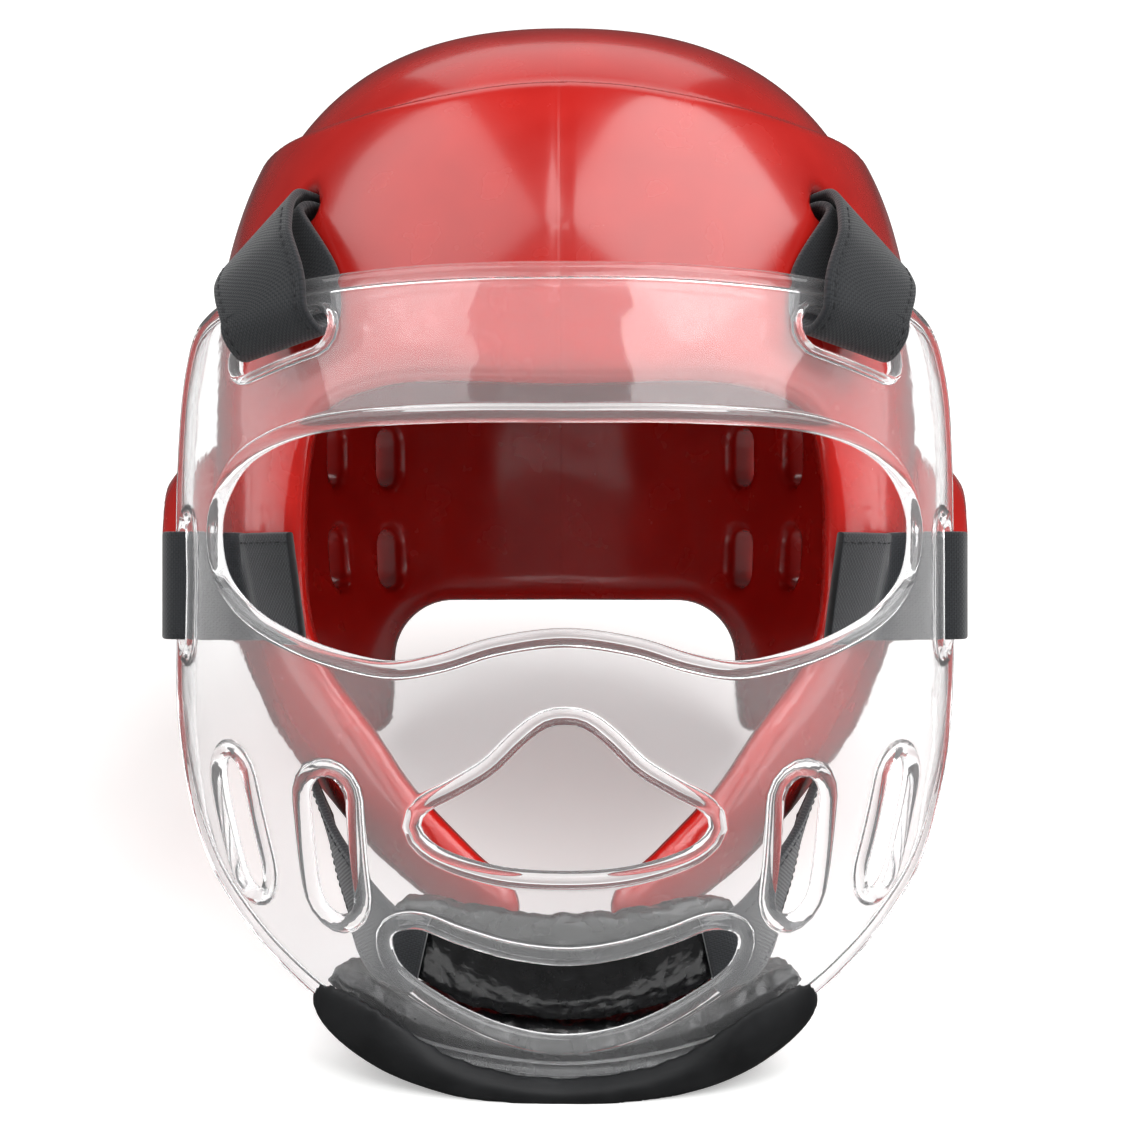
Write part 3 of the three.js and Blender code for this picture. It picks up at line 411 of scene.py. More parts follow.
def helmetSection(z, inset):  # half width, front and back of a level section
    down = np.clip((helmet["base"] - z) / helmet["jaw"], 0, 1)
    return [helmet[size] * readColumn(jawProfile, key, down) - inset
            for size, key in (("halfWidth", "width"), ("front", "front"), ("back", "back"))]


def helmetRatio(p, inset):
    h = helmet
    x, y, z = p[:, 0], p[:, 1], p[:, 2]
    up = np.maximum(z - h["base"], 0) / (h["apex"] - inset - h["base"])
    across, front, back = helmetSection(z, inset)
    plan, dome = h["planPower"], h["domePower"]
    level = (np.abs(x / across) ** plan + np.abs(y / np.where(y < 0, front, back)) ** plan) ** (1 / plan)
    return (level ** dome + up ** dome) ** (1 / dome) - 1


def slopes(field, p, step):
    return np.stack([(field(p + e) - field(p - e)) / (2 * step) for e in np.eye(3) * step], 1)


def helmetSkin(p, inset):  # about the distance to the skin, this far inside the outer face
    value = helmetRatio(p, inset)
    steep = np.stack([helmetRatio(p + e, inset) - value for e in np.eye(3) * 0.5], 1) / 0.5
    return value / np.maximum(np.linalg.norm(steep, axis=1), 1e-4)


def both(a, b, soft):  # where both fields are inside, with a rounded edge
    h = np.maximum(soft - np.abs(a - b), 0) / soft
    return np.maximum(a, b) + h * h * soft / 4


def either(a, b, soft):
    return -both(-a, -b, soft)


def boxField(a, b, halfA, halfB, corner):  # rounded rectangle
    qa, qb = np.abs(a) - halfA + corner, np.abs(b) - halfB + corner
    return np.hypot(np.maximum(qa, 0), np.maximum(qb, 0)) + np.minimum(np.maximum(qa, qb), 0) - corner


def slotField(a, b, half):  # slot with round ends
    return boxField(a, b, *half, half[0] - 0.05)


def loopField(px, pz, loop):  # distance to a closed outline, negative inside
    best = np.full(px.shape, 1e9)
    inside = np.zeros(px.shape, bool)
    for (ax, az), (bx, bz) in zip(loop, np.roll(loop, -1, axis=0)):
        ex, ez = bx - ax, bz - az
        t = np.clip(((px - ax) * ex + (pz - az) * ez) / max(ex * ex + ez * ez, 1e-9), 0, 1)
        best = np.minimum(best, (px - ax - t * ex) ** 2 + (pz - az - t * ez) ** 2)
        if az != bz:
            inside ^= ((az > pz) != (bz > pz)) & (px < ex * (pz - az) / ez + ax)
    return np.where(inside, -1, 1) * np.sqrt(best)


def faceTable():  # the face opening's field on a level grid of 1 mm, read by faceField
    h = helmet
    z = h["brow"] - np.array(faceOutline["down"]) * h["faceLength"]
    x = np.array(faceOutline["across"]) * h["faceHalf"]
    x = np.where(z < h["brow"] - h["gapShare"] * h["faceLength"], h["gapHalf"], x)
    half = np.stack([x, z], 1)
    half = np.vstack([half, [[h["gapHalf"], z[-1] - 30]]])
    whole = np.vstack([half, half[1:][::-1] * [-1, 1]])
    loop = curveThrough(whole, 8 * len(whole), closed=True)
    xs, zs = np.arange(0, 116), np.arange(-96, 157)
    gridX, gridZ = np.meshgrid(xs, zs, indexing="ij")
    return loopField(gridX.astype(float), gridZ.astype(float), loop)


faceGrid = faceTable()


def faceField(x, z):
    u, v = np.clip(np.abs(x), 0, 113.9), np.clip(z + 96, 0, 250.9)
    i, j = u.astype(int), v.astype(int)
    s, t = u - i, v - j
    low = faceGrid[i, j] * (1 - s) + faceGrid[i + 1, j] * s
    return low * (1 - t) + (faceGrid[i, j + 1] * (1 - s) + faceGrid[i + 1, j + 1] * s) * t


def domeShare(z):  # how much of the base's width and length is left at this level
    climb = min(max(z - helmet["base"], 0) / (helmet["apex"] - helmet["base"]), 1)
    return (1 - climb ** helmet["domePower"]) ** (1 / helmet["domePower"])


def helmetPoint(turn, z):
    across, front, back = (float(size) for size in helmetSection(z, 0))
    share = domeShare(z)

    def rounded(value):
        return math.copysign(abs(value) ** (2 / helmet["planPower"]), value)

    along = rounded(-math.cos(turn))
    reach = front if along < 0 else back
    return np.array([across * share * rounded(math.sin(turn)), share * along * reach, z])


def frameOn(pointAt, u, v, du, dv):
    across = unit(pointAt(u + du, v) - pointAt(u - du, v))
    up = unit(pointAt(u, v + dv) - pointAt(u, v - dv))
    return {"point": pointAt(u, v), "across": across, "up": up, "normal": unit(np.cross(across, up))}


def helmetFrame(x, z):
    half = float(helmetSection(z, 0)[0]) * domeShare(z)
    turn = math.copysign(math.asin(min(abs(x) / half, 1) ** (helmet["planPower"] / 2)), x)
    return frameOn(helmetPoint, turn, z, 0.02, 1)


def turned(frameAt, degrees):
    turn = math.radians(degrees)
    along = unit(frameAt["across"] * math.cos(turn) + frameAt["up"] * math.sin(turn))
    return {**frameAt, "along": along, "down": unit(np.cross(along, frameAt["normal"]))}


slitFrame = turned(helmetFrame(helmet["slitX"], helmet["slitZ"]), -helmet["slitFall"])


def helmetField(p):
    h = helmet
    x, y, z = p[:, 0], p[:, 1], p[:, 2]
    outer = helmetSkin(p, 0)
    ripple = np.sin(x / 9 + 1.3 * np.sin(z / 13)) * np.sin(z / 11 + y / 17) * np.sin(y / 8 + x / 23)
    outer = outer + h["wave"] * ripple
    outer = outer + h["seamDepth"] * np.exp(-((x - h["seamX"]) / h["seamHalf"]) ** 2)
    share = np.abs(x) / h["halfWidth"]
    rim = z - h["rimHeight"] + h["rimSlope"] * y + readColumn(bandRim, "fall", share)
    field = both(outer, rim * 0.98, h["rimRound"])
    field = either(field, helmetSkin(p, h["crownStep"]), 1.6)

    ax = np.abs(x)
    folded = np.stack([ax, y, z], 1)
    earSizes = np.array([h["earBulge"], h["earRadius"], h["earRadius"]])
    ear = (folded - [h["earX"], h["earY"], h["earZ"]]) / earSizes
    near = np.linalg.norm(ear, axis=1)
    steep = np.linalg.norm(ear / earSizes, axis=1)
    field = either(field, near * (near - 1) / np.maximum(steep, 1e-4), 7)
    fromHole = np.hypot(y - h["earY"], z - h["earZ"])
    dish = np.maximum(ax - h["earX"] - h["earBulge"] / 2, 0) * (h["earDish"] - h["earHole"]) / h["earBulge"]
    field = both(field, np.minimum(h["earHole"] + dish - fromHole, ax - h["earStart"]), 3)

    inner = helmetSkin(p, h["wall"])
    field = both(field, -inner + 0.5 * h["wave"] * np.sin(x / 7 + z / 12) * np.sin(z / 9 - y / 8), 9)
    field = both(field, -np.maximum(faceField(x, z), y + h["cutStart"]), 9)
    nape = boxField(x, z - h["napeTop"] + 150, h["napeHalf"], 150, h["napeCorner"])
    field = both(field, -np.maximum(nape, h["cutStart"] - y), 9)

    along = y / np.where(y < 0, h["front"], h["back"])
    level = -readColumn(lowerEdge, "down", along) * (h["jaw"] - h["base"])
    lift = -readColumn(lowerEdge, "down", along + 0.02) * (h["jaw"] - h["base"]) - level
    field = both(field, (level - z) / np.hypot(1, lift / 2.2), 9)

    a, d, n = ((folded - slitFrame["point"]) @ slitFrame[key] for key in ("along", "down", "normal"))
    slit = boxField(a, d, *h["slitHalf"], 3.0)
    field = both(field, -np.maximum(slit, np.abs(n) - 30), 4)

    for level in h["ventLevels"]:
        for angle in h["ventAngles"]:
            turn = math.pi - math.radians(angle)
            outward = np.array([math.sin(turn), -math.cos(turn), 0])
            q = folded - helmetPoint(turn, level)
            vent = slotField(q @ np.cross([0, 0, 1], outward), q[:, 2], h["ventHalf"])
            field = both(field, -np.maximum(vent, np.abs(q @ outward) - 30), 3)
    crown = slotField(ax - h["crownVentAt"][0], y - h["crownVentAt"][1], h["crownVentHalf"])
    field = both(field, -np.maximum(crown, h["crownStart"] - z), 3)

    height = leanCos * z - leanSin * y + rest["up"]
    return both(field, -height, 1.5)


def inSlices(field, points, count=160000):
    return np.concatenate([field(points[k:k + count]) for k in range(0, len(points), count)])


def netOver(field, low, high, cell):  # even quads over the field's zero level
    axes = [np.arange(a, b + cell, cell) for a, b in zip(low, high)]
    grid = np.stack(np.meshgrid(*axes, indexing="ij"), -1)
    value = inSlices(field, grid.reshape(-1, 3)).reshape(grid.shape[:3])
    inside = value < 0
    n = np.array(value.shape)
    corners = [np.array(c) for c in np.ndindex(2, 2, 2)]

    def at(array, c):
        return array[c[0]:n[0] - 1 + c[0], c[1]:n[1] - 1 + c[1], c[2]:n[2] - 1 + c[2]]

    total = sum(at(inside, c).astype(int) for c in corners)
    mixed = (total > 0) & (total < 8)
    cells = np.argwhere(mixed)
    index = -np.ones(mixed.shape, int)
    index[mixed] = np.arange(len(cells))
    place, weight = np.zeros((len(cells), 3)), np.zeros(len(cells))
    for a in corners:
        for axis in range(3):
            if a[axis]:
                continue
            b = a + np.eye(3, dtype=int)[axis]
            va, vb = (value[tuple((cells + c).T)] for c in (a, b))
            cross = (va < 0) != (vb < 0)
            t = np.where(cross, va / np.where(cross, va - vb, 1), 0)
            place += np.where(cross[:, None], a + t[:, None] * (b - a), 0)
            weight += cross
    points = (cells + place / weight[:, None]) * cell + np.array([a[0] for a in axes])
    quads = []
    for axis in range(3):
        one, two = (axis + 1) % 3, (axis + 2) % 3
        here = [slice(1, -1)] * 3
        here[axis] = slice(0, -1)
        there = list(here)
        there[axis] = slice(1, None)
        changed = np.argwhere(inside[tuple(here)] != inside[tuple(there)])
        base = changed + [0 if k == axis else 1 for k in range(3)]
        steps = np.zeros((4, 3), int)
        steps[0, [one, two]] = -1, -1
        steps[1, [one, two]] = 0, -1
        steps[3, [one, two]] = -1, 0
        ring = np.stack([index[tuple((base + s).T)] for s in steps], 1)
        outward = inside[tuple(base.T)]
        quads.append(np.where(outward[:, None], ring, ring[:, ::-1]))
    return points, np.vstack(quads)


def settleOn(field, points, quads, rounds):  # evens the mesh and puts it on the zero level
    pairs = np.vstack([quads[:, [k, (k + 1) % 4]] for k in range(4)])
    pairs = np.vstack([pairs, pairs[:, ::-1]])
    count = np.bincount(pairs[:, 0], minlength=len(points))[:, None]
    for _ in range(rounds):
        sums = [np.bincount(pairs[:, 0], points[pairs[:, 1], k], len(points)) for k in range(3)]
        points = points + 0.6 * (np.stack(sums, 1) / count - points)
        for _ in range(2):
            value = inSlices(field, points)
            steep = inSlices(lambda q: slopes(field, q, 0.15), points)
            size = np.maximum((steep ** 2).sum(1), 0.2)
            points = points - np.clip(value / size, -1.5, 1.5)[:, None] * steep
    return points


def makeHelmet():
    points, quads = netOver(helmetField, *helmet["netBox"], helmet["cell"])
    points = settleOn(helmetField, points, quads, 3)
    piece = makePiece("helmetFoam", points, quads.tolist(), dippedRed, "dipped_foam", "helmet_shell")
    print("helmet made", len(quads))


makeHelmet()

# Face shield: unrolled outlines, a thin plate and round beads
shield = {
    "halfWidth": 97, "top": 71, "bottom": -124, "reach": 122, "edge": 40, "turnLength": 90,
    "plate": 2.2, "bead": 4.6, "beadThick": 4.4, "slotBead": 2.4, "wave": 0.28, "grid": 3.2,
    "footAway": (1.3, 1.55, 1.75, 1.9, 2.02, 2.15), "footHigh": (0.86, 0.5, 0.18, 0.04, 0, 0),
    "eye": (84, 33, 55), "mouth": (33.5, -36.5, 34), "chin": (41, -85, 26),
    "innerVent": (55, -66, 11, 33, 2), "outerVent": (78, -62, 12.5, 32, -9),
    "upperSlot": (68.5, 53, 33, 8.4, -14), "sideTurn": 75, "sideZ": -5, "sideSlot": (7, 32),
}
shieldProfile = {
    "down": (0, 0.056, 0.138, 0.25, 0.364, 0.544, 0.672, 0.774, 0.872, 0.938, 1),
    "width": (0.885, 0.94, 0.98, 0.997, 1, 0.995, 0.965, 0.92, 0.84, 0.76, 0.67),
    "edge": (1.25, 1.17, 1.1, 1.03, 1, 1.03, 1.07, 1.1, 1.15, 1.2, 1.25),
    "reach": (0.9, 0.917, 0.943, 0.977, 0.996, 1, 0.98, 0.943, 0.885, 0.823, 0.753),
}
shieldOutline = {
    "across": (0, 0.35, 0.6, 0.75, 0.88, 0.945, 0.975, 0.992, 0.995, 0.99, 0.953, 0.887, 0.818, 0.722, 0.577,
               0.35, 0),
    "down": (0, 0.003, 0.012, 0.022, 0.04, 0.075, 0.125, 0.25, 0.4, 0.55, 0.652, 0.742, 0.793, 0.847, 0.906,
             0.962, 0.99),
}
eyeOutline = {
    "across": (0, 0.36, 0.68, 0.84, 0.94, 1, 0.99, 0.92, 0.76, 0.6, 0.47, 0.35, 0.2, 0),
    "down": (0, 0, 0.03, 0.1, 0.21, 0.4, 0.58, 0.74, 0.89, 0.97, 1, 0.97, 0.9, 0.86),
}
mouthOutline = {
    "across": (0, 0.12, 0.27, 0.48, 0.74, 0.95, 1, 0.91, 0.5, 0),
    "down": (0, 0.02, 0.13, 0.33, 0.49, 0.61, 0.7, 0.82, 0.96, 1),
}
chinOutline = {
    "across": (0, 0.32, 0.61, 0.84, 0.99, 0.96, 0.73, 0.44, 0.2, 0),
    "down": (0.31, 0.25, 0.12, 0, 0.08, 0.33, 0.62, 0.86, 0.97, 1),
}


def shieldSection(z):
    down = (shield["top"] - z) / (shield["top"] - shield["bottom"])
    return (shield["halfWidth"] * readColumn(shieldProfile, "width", down),
            -shield["edge"] * readColumn(shieldProfile, "edge", down),
            -shield["reach"] * readColumn(shieldProfile, "reach", down))


def shieldPoint(u, z):
    half, edge, front = shieldSection(z)
    turn = np.asarray(u) / shield["turnLength"]
    return np.stack([half * np.sin(turn), edge + (front - edge) * np.cos(turn), z + 0 * turn], -1)


def shieldFrame(u, z):
    return frameOn(shieldPoint, u, z, 0.5, 0.5)


def shieldOffset(u, z, height):
    f = shieldFrame(np.asarray(u, float), np.asarray(z, float))
    return f["point"] + f["normal"] * np.asarray(height)[..., None]


def unroll(x, z):
    share = np.minimum(np.abs(x) / shieldSection(z)[0], 0.996)
    return np.sign(x) * np.arcsin(share) * shield["turnLength"]


def shieldLoop(outline, halfWidth, top, height, spacing):
    x = np.array(outline["across"]) * halfWidth
    z = top - np.array(outline["down"]) * height
    right = np.stack([unroll(x, z), z], 1)
    left = right[right[:, 0] > 0][::-1] * [-1, 1]
    whole = np.vstack([right, left])[::-1]
    return evenly(curveThrough(whole, 12 * len(whole), closed=True), spacing)


def capsuleLoop(u, z, width, height, lean, spacing):
    radius, reach = min(width, height) / 2, abs(height - width) / 2
    turns = np.linspace(0, math.pi, 13)
    top = np.stack([radius * np.cos(turns), radius * np.sin(turns) + reach], 1)
    whole = np.vstack([top, -top])
    if width > height:
        whole = np.stack([whole[:, 1], -whole[:, 0]], 1)
    c, s = math.cos(math.radians(lean)), math.sin(math.radians(lean))
    whole = whole @ np.array([[c, s], [-s, c]]) + [u, z]
    return evenly(whole, spacing)


def shieldOpenings(spacing):
    s = shield
    found = [(shieldLoop(outline, *s[key], spacing), s["bead"])
             for outline, key in ((eyeOutline, "eye"), (mouthOutline, "mouth"), (chinOutline, "chin"))]
    for side in (-1, 1):
        for key, bead in (("innerVent", s["bead"]), ("outerVent", s["bead"]), ("upperSlot", s["slotBead"])):
            x, z, width, height, lean = s[key]
            u = float(unroll(side * x, z))
            found.append((capsuleLoop(u, z, width, height, side * lean, spacing), bead))
        u = side * math.radians(s["sideTurn"]) * s["turnLength"]
        found.append((capsuleLoop(u, s["sideZ"], *s["sideSlot"], 0, spacing), s["bead"]))
    return found


def pushed(loop, distance):  # a counter-clockwise loop moved outwards
    along = unit(np.roll(loop, -1, axis=0) - np.roll(loop, 1, axis=0))
    return loop + np.stack([along[:, 1], -along[:, 0]], 1) * distance


def wound(loop):  # the loop running counter-clockwise
    after = np.roll(loop, -1, axis=0)
    return loop if (loop[:, 0] * after[:, 1] - after[:, 0] * loop[:, 1]).sum() > 0 else loop[::-1]


def makeShield():
    s = shield
    edgeLoop = wound(shieldLoop(shieldOutline, s["halfWidth"], s["top"], s["top"] - s["bottom"], 2.2))
    rims = [(edgeLoop, s["bead"], -1)] + [(wound(loop), bead, 1) for loop, bead in shieldOpenings(2.0)]
    turns = np.radians([0, 18, 36, 54, 72, 90])
    radius, thin = s["beadThick"] / 2, s["plate"] / 2
    seats, rows = [], []
    for loop, bead, way in rims:
        half = min(bead / 2, radius)
        away = [half * (1 - math.cos(t)) for t in turns] + [half * k for k in s["footAway"]]
        high = [radius * math.sin(t) for t in turns] + [thin + (radius - thin) * k for k in s["footHigh"]]
        rows.append([(pushed(loop, way * a), h) for a, h in zip(away, high)])
        seats.append(rows[-1][-1][0])
    step = s["grid"]
    us, zs = np.arange(-150, 150, step), np.arange(s["bottom"], s["top"], step * 0.866)
    gridU, gridZ = np.meshgrid(us, zs, indexing="ij")
    gridU = gridU + (np.arange(len(zs)) % 2) * step / 2
    spots = np.stack([gridU.ravel(), gridZ.ravel()], 1)

    def clear(points, margin):
        keep = loopField(points[:, 0], points[:, 1], seats[0]) < -margin
        for seat in seats[1:]:
            keep &= loopField(points[:, 0], points[:, 1], seat) > margin
        return keep

    spots = spots[clear(spots, 1.4)]
    ends = np.cumsum([0] + [len(seat) for seat in seats])
    edges = [(int(a + i), int(a + (i + 1) % (b - a))) for a, b in zip(ends, ends[1:]) for i in range(b - a)]
    flat = np.vstack(seats + [spots])
    made = geometry.delaunay_2d_cdt([Vector(p) for p in flat], edges, [], 0, 1e-4)
    verts, tris, origins = np.array([tuple(v) for v in made[0]]), np.array(made[2]), made[3]
    where = {k: i for i, group in enumerate(origins) for k in group}
    tris = tris[clear(verts[tris].mean(1), 0)]
    count = len(verts)
    points = [np.column_stack([verts, np.full(count, height)]) for height in (thin, -thin)]
    faces = tris.tolist() + (tris[:, ::-1] + count).tolist()
    total = 2 * count
    for k, row in enumerate(rows):
        n = len(row[0][0])
        last = [where[int(ends[k]) + i] for i in range(n)]
        for way in (1, -1):
            starts = []
            for j, (loop, height) in enumerate(row[:-1]):
                if j == 0 and way == -1:
                    starts.append(first)
                    continue
                points.append(np.column_stack([loop, np.full(n, way * height)]))
                starts.append(list(range(total, total + n)))
                total += n
            if way == 1:
                first = starts[0]
            starts.append([i if way == 1 else i + count for i in last])
            for lower, upper in zip(starts, starts[1:]):
                for i in range(n):
                    j = (i + 1) % n
                    faces.append([lower[i], lower[j], upper[j], upper[i]])
    flat = np.vstack(points)
    used = np.unique(np.concatenate([np.ravel(f) for f in faces]))
    lookup = -np.ones(len(flat), int)
    lookup[used] = np.arange(len(used))
    faces = [[int(lookup[i]) for i in f] for f in faces]
    flat = flat[used]
    wave = s["wave"] * grain(np.column_stack([flat[:, :2], np.zeros(len(flat))]), 26.0, 2, 4.0)
    solid = shieldOffset(flat[:, 0], flat[:, 1], flat[:, 2] + wave)
    makePiece("clearShield", solid, faces, clearPlastic, "clear_shield", "face_shield")
    print("shield made", len(faces))
    return edgeLoop


shieldEdge = makeShield()

# Woven bands with stitched edges
band = {
    "width": 27, "thickness": 2, "gap": 0.35, "flap": 11, "depthShare": 1.25, "barHalf": 4.6, "barBow": 1.9,
    "level": -5, "patch": (64, 78), "chinWidth": 20, "chinAnchor": (61, -56), "chinLift": 2.5, "corner": 0.7,
}


def sectionOf(width, thickness):  # a flat band with soft edges, and each point's place across it
    corner = band["corner"]
    found = []
    for side, up in ((1, 1), (-1, 1), (-1, -1), (1, -1)):
        turns = np.radians([0, 30, 60, 90] if side * up > 0 else [90, 60, 30, 0])
        for t in turns:
            found.append((side * (width / 2 - corner + corner * math.cos(t)),
                          up * (thickness / 2 - corner + corner * math.sin(t))))
        if side == 1 and up == 1:
            found += [(width * k, thickness / 2) for k in (0.3, 0.1, -0.1, -0.3)]
        if side == -1 and up == -1:
            found += [(width * k, -thickness / 2) for k in (-0.3, -0.1, 0.1, 0.3)]
    return np.array(found)


def makeBand(name, path, width, steps, node, mirror, fray=0.12):
    line = curveThrough([p for p, _ in path], 6 * steps)
    ways = curveThrough([a for _, a in path], 6 * steps)
    run = runAlong(line)
    at = np.linspace(0, run[-1], steps + 1)
    line, ways = (readAlong(v, run, at) for v in (line, ways))
    tangent = unit(np.gradient(line, axis=0))
    along = unit(ways - (ways * tangent).sum(1, keepdims=True) * tangent)
    normal = unit(np.cross(tangent, along))
    section = sectionOf(width, band["thickness"])
    soft = grain(line, 9.0, 2, 2.0 if mirror else 7.0) * fray
    rings = (line[:, None] + section[None, :, :1] * along[:, None] * (1 + 0.012 * soft[:, None, None])
             + section[None, :, 1:] * normal[:, None] + soft[:, None, None] * normal[:, None] * 0.6)
    n = len(section)
    flip = np.array([-1, 1, 1] if mirror else [1, 1, 1])
    points, faces = rings.reshape(-1, 3) * flip, tubeFaces(steps + 1, n)
    piece = makePiece(name, points, faces, wovenBand, "webbing", node)
    places = piece.data.uv_layers.new(name="band")
    index = np.empty(len(piece.data.loops), int)
    piece.data.loops.foreach_get("vertex_index", index)
    uv = np.stack([section[index % n, 0], at[index // n]], 1) / 1000
    places.data.foreach_set("uv", uv.astype(np.float32).ravel())
    return line * flip, along * flip, normal * flip


def upperPath():
    b, s = band, shield
    x, z, _, height, lean = s["upperSlot"]
    level = z + b["barHalf"] + height / 2 + b["gap"]
    u = float(unroll(x, level))
    bar = turned(shieldFrame(u, level), lean)
    hole = slitFrame
    layer = b["thickness"] / 2 + 1.5 * b["gap"]
    depth = helmet["wall"] * b["depthShare"]
    inside = -depth - b["flap"] / 2
    clear = s["beadThick"] / 2 + 3 * b["gap"] + b["thickness"] / 2
    front, behind, under = clear + 1.2, -clear - b["barBow"], b["barHalf"] + 0.5

    def at(f, out, fall):
        return f["point"] + f["normal"] * out + f["down"] * fall, f["along"]

    bulge = ((hole["point"] + bar["point"]) / 2 + bar["normal"] * (clear + 5),
             (hole["along"] + bar["along"]) / 2)
    legs = ((inside, b["flap"]), (inside + 1, 2.2 * b["thickness"]), (-depth, layer), (-depth / 2, layer))
    return [
        *[at(hole, out, -fall) for out, fall in legs], at(hole, 1.5, -layer), bulge,
        at(bar, front + 0.6, 0), at(bar, front - 0.4, under + 1), at(bar, -0.5, b["barHalf"] + 5),
        at(bar, behind, under), at(bar, behind - 0.5, -3), at(hole, 2.5, layer + 3.5),
        at(hole, -1, layer), *[at(hole, out, fall) for out, fall in legs[::-1]],
    ]


def sidePath():
    b, s = band, shield
    skin = b["gap"] + b["thickness"] / 2
    upright = np.array([0.0, 0, 1])

    def onHelmet(x):
        f = helmetFrame(x, b["level"])
        return f["point"] + f["normal"] * (skin + 0.25), f["up"]

    def onShield(turn, out):
        return shieldOffset(math.radians(turn) * s["turnLength"], b["level"], out), upright

    clear = s["beadThick"] / 2 + skin
    edge = math.degrees(shieldEdge[:, 0].max() / s["turnLength"])
    hole = s["sideTurn"]
    return [
        *[onHelmet(x) for x in np.linspace(*b["patch"], 5)],
        onShield(hole - 1.5, -clear - 0.6), onShield(hole + 0.4, 1.6),
        onShield(hole + 2.4, clear + 0.8), onShield(edge - 2.2, clear + 1.05),
        onShield(edge + 1, 3.2), onShield(edge + 1.8, 0),
        onShield(edge + 1, -3.2), onShield(edge - 1, -clear - 0.6), onShield(edge - 3.6, -clear - 0.5),
    ]


cup = {
    "halfWidth": 42, "z": -99.5, "rise": 8, "halfHeight": 14.5, "thickness": 8,
    "setBack": 6.6, "endSize": 0.5,
}


def cupPlace(share):
    z = cup["z"] + cup["rise"] * share ** 2
    return float(unroll(share * cup["halfWidth"], z)), z


def chinPath():
    b = band
    skin = b["gap"] + b["thickness"] / 2
    anchor = helmetFrame(*b["chinAnchor"])
    end, near = cupPlace(0.84), cupPlace(1.04)
    seat = shieldFrame(*end)["normal"]
    start = anchor["point"] + anchor["normal"] * (skin + 0.6)
    finish = shieldOffset(*end, -cup["setBack"] + skin + 0.2)
    before = shieldOffset(*near, -cup["setBack"] + skin + 0.5)
    middle = (start + before) / 2 + anchor["normal"] * b["chinLift"]
    way = unit(before - start)

    def across(normal):
        return unit(np.cross(normal, way))

    return [(start, across(anchor["normal"])), (middle, across((anchor["normal"] + seat) / 2)),
            (before, across(seat)), (finish, across(seat))]


stitch = {"Pitch": 0.0028, "Thickness": 0.00024, "Length": 0.0010}


def stitchTree():  # short threads laid along a seam line
    sizes = [(name, "Float", value) for name, value in stitch.items()]
    ins = [("Geometry", "Geometry", None), *sizes, ("Material", "Material", None)]
    tree, start, end = newGroup("stitches", ins, [("Geometry", "Geometry")], "GeometryNodeTree")
    node = tree.nodes.new
    curve, resample = node("GeometryNodeMeshToCurve"), node("GeometryNodeResampleCurve")
    resample.mode = "LENGTH"
    ball, size = node("GeometryNodeMeshUVSphere"), node("ShaderNodeCombineXYZ")
    for key, value in (("Segments", 8), ("Rings", 6), ("Radius", 1.0)):
        ball.inputs[key].default_value = value
    shape, lay = node("GeometryNodeTransform"), node("GeometryNodeInstanceOnPoints")
    tangent, turn = node("GeometryNodeInputTangent"), node("FunctionNodeAlignRotationToVector")
    turn.axis = "X"
    real, paint = node("GeometryNodeRealizeInstances"), node("GeometryNodeSetMaterial")
    for source, out, target, into in (
            (start, "Geometry", curve, "Mesh"), (curve, 0, resample, "Curve"),
            (start, "Pitch", resample, "Length"), (start, "Length", size, 0),
            (start, "Thickness", size, 1), (start, "Thickness", size, 2),
            (ball, "Mesh", shape, "Geometry"), (size, 0, shape, "Scale"),
            (resample, 0, lay, "Points"), (shape, 0, lay, "Instance"),
            (tangent, 0, turn, "Vector"), (turn, 0, lay, "Rotation"), (lay, 0, real, 0),
            (real, 0, paint, "Geometry"), (start, "Material", paint, "Material"), (paint, 0, end, 0)):
        tree.links.new(source.outputs[out], target.inputs[into])
    return tree


stitches = stitchTree()


def makeStitches(name, lines):
    mesh = bpy.data.meshes.new(name)
    points, edges = [], []
    for line in lines:
        edges += [(len(points) + i, len(points) + i + 1) for i in range(len(line) - 1)]
        points += toRow(line).tolist()
    mesh.from_pydata(points, edges, [])
    holder = addObject(name + "Lines", mesh)
    modifier = holder.modifiers.new("stitches", "NODES")
    modifier.node_group = stitches
    inputs = {i.name: i.identifier for i in stitches.interface.items_tree if i.in_out == "INPUT"}
    for key, value in {**stitch, "Material": blackThread}.items():
        modifier[inputs[key]] = value
    declare(name, evaluated(holder), "webbing")


def seamLines(line, along, normal, span, width, inset=2.2, lift=1.08):  # near both long edges, on both faces
    a, b = (int(k * (len(line) - 1)) for k in span)
    return [line[a:b] + side * (width / 2 - inset) * along[a:b] + face * lift * normal[a:b]
            for side in (-1, 1) for face in (-1, 1)]


def makeBands():
    for side in ("left", "right"):
        mirror = side == "left"
        label = side.capitalize()
        upper = makeBand(f"upperBand{label}", upperPath(), band["width"], 190, f"upper_strap_{side}", mirror)
        flank = makeBand(f"sideBand{label}", sidePath(), band["width"], 110, f"side_strap_{side}", mirror)
        chin = makeBand(f"chinBand{label}", chinPath(), band["chinWidth"], 70, f"chin_strap_{side}", mirror)
        lines = seamLines(*upper, (0.3, 0.52), band["width"]) + seamLines(*flank, (0.02, 0.30), band["width"])
        lines += seamLines(*chin, (0.03, 0.97), band["chinWidth"])
        makeStitches(f"bandStitches{label}", lines)
    print("bands made")


makeBands()

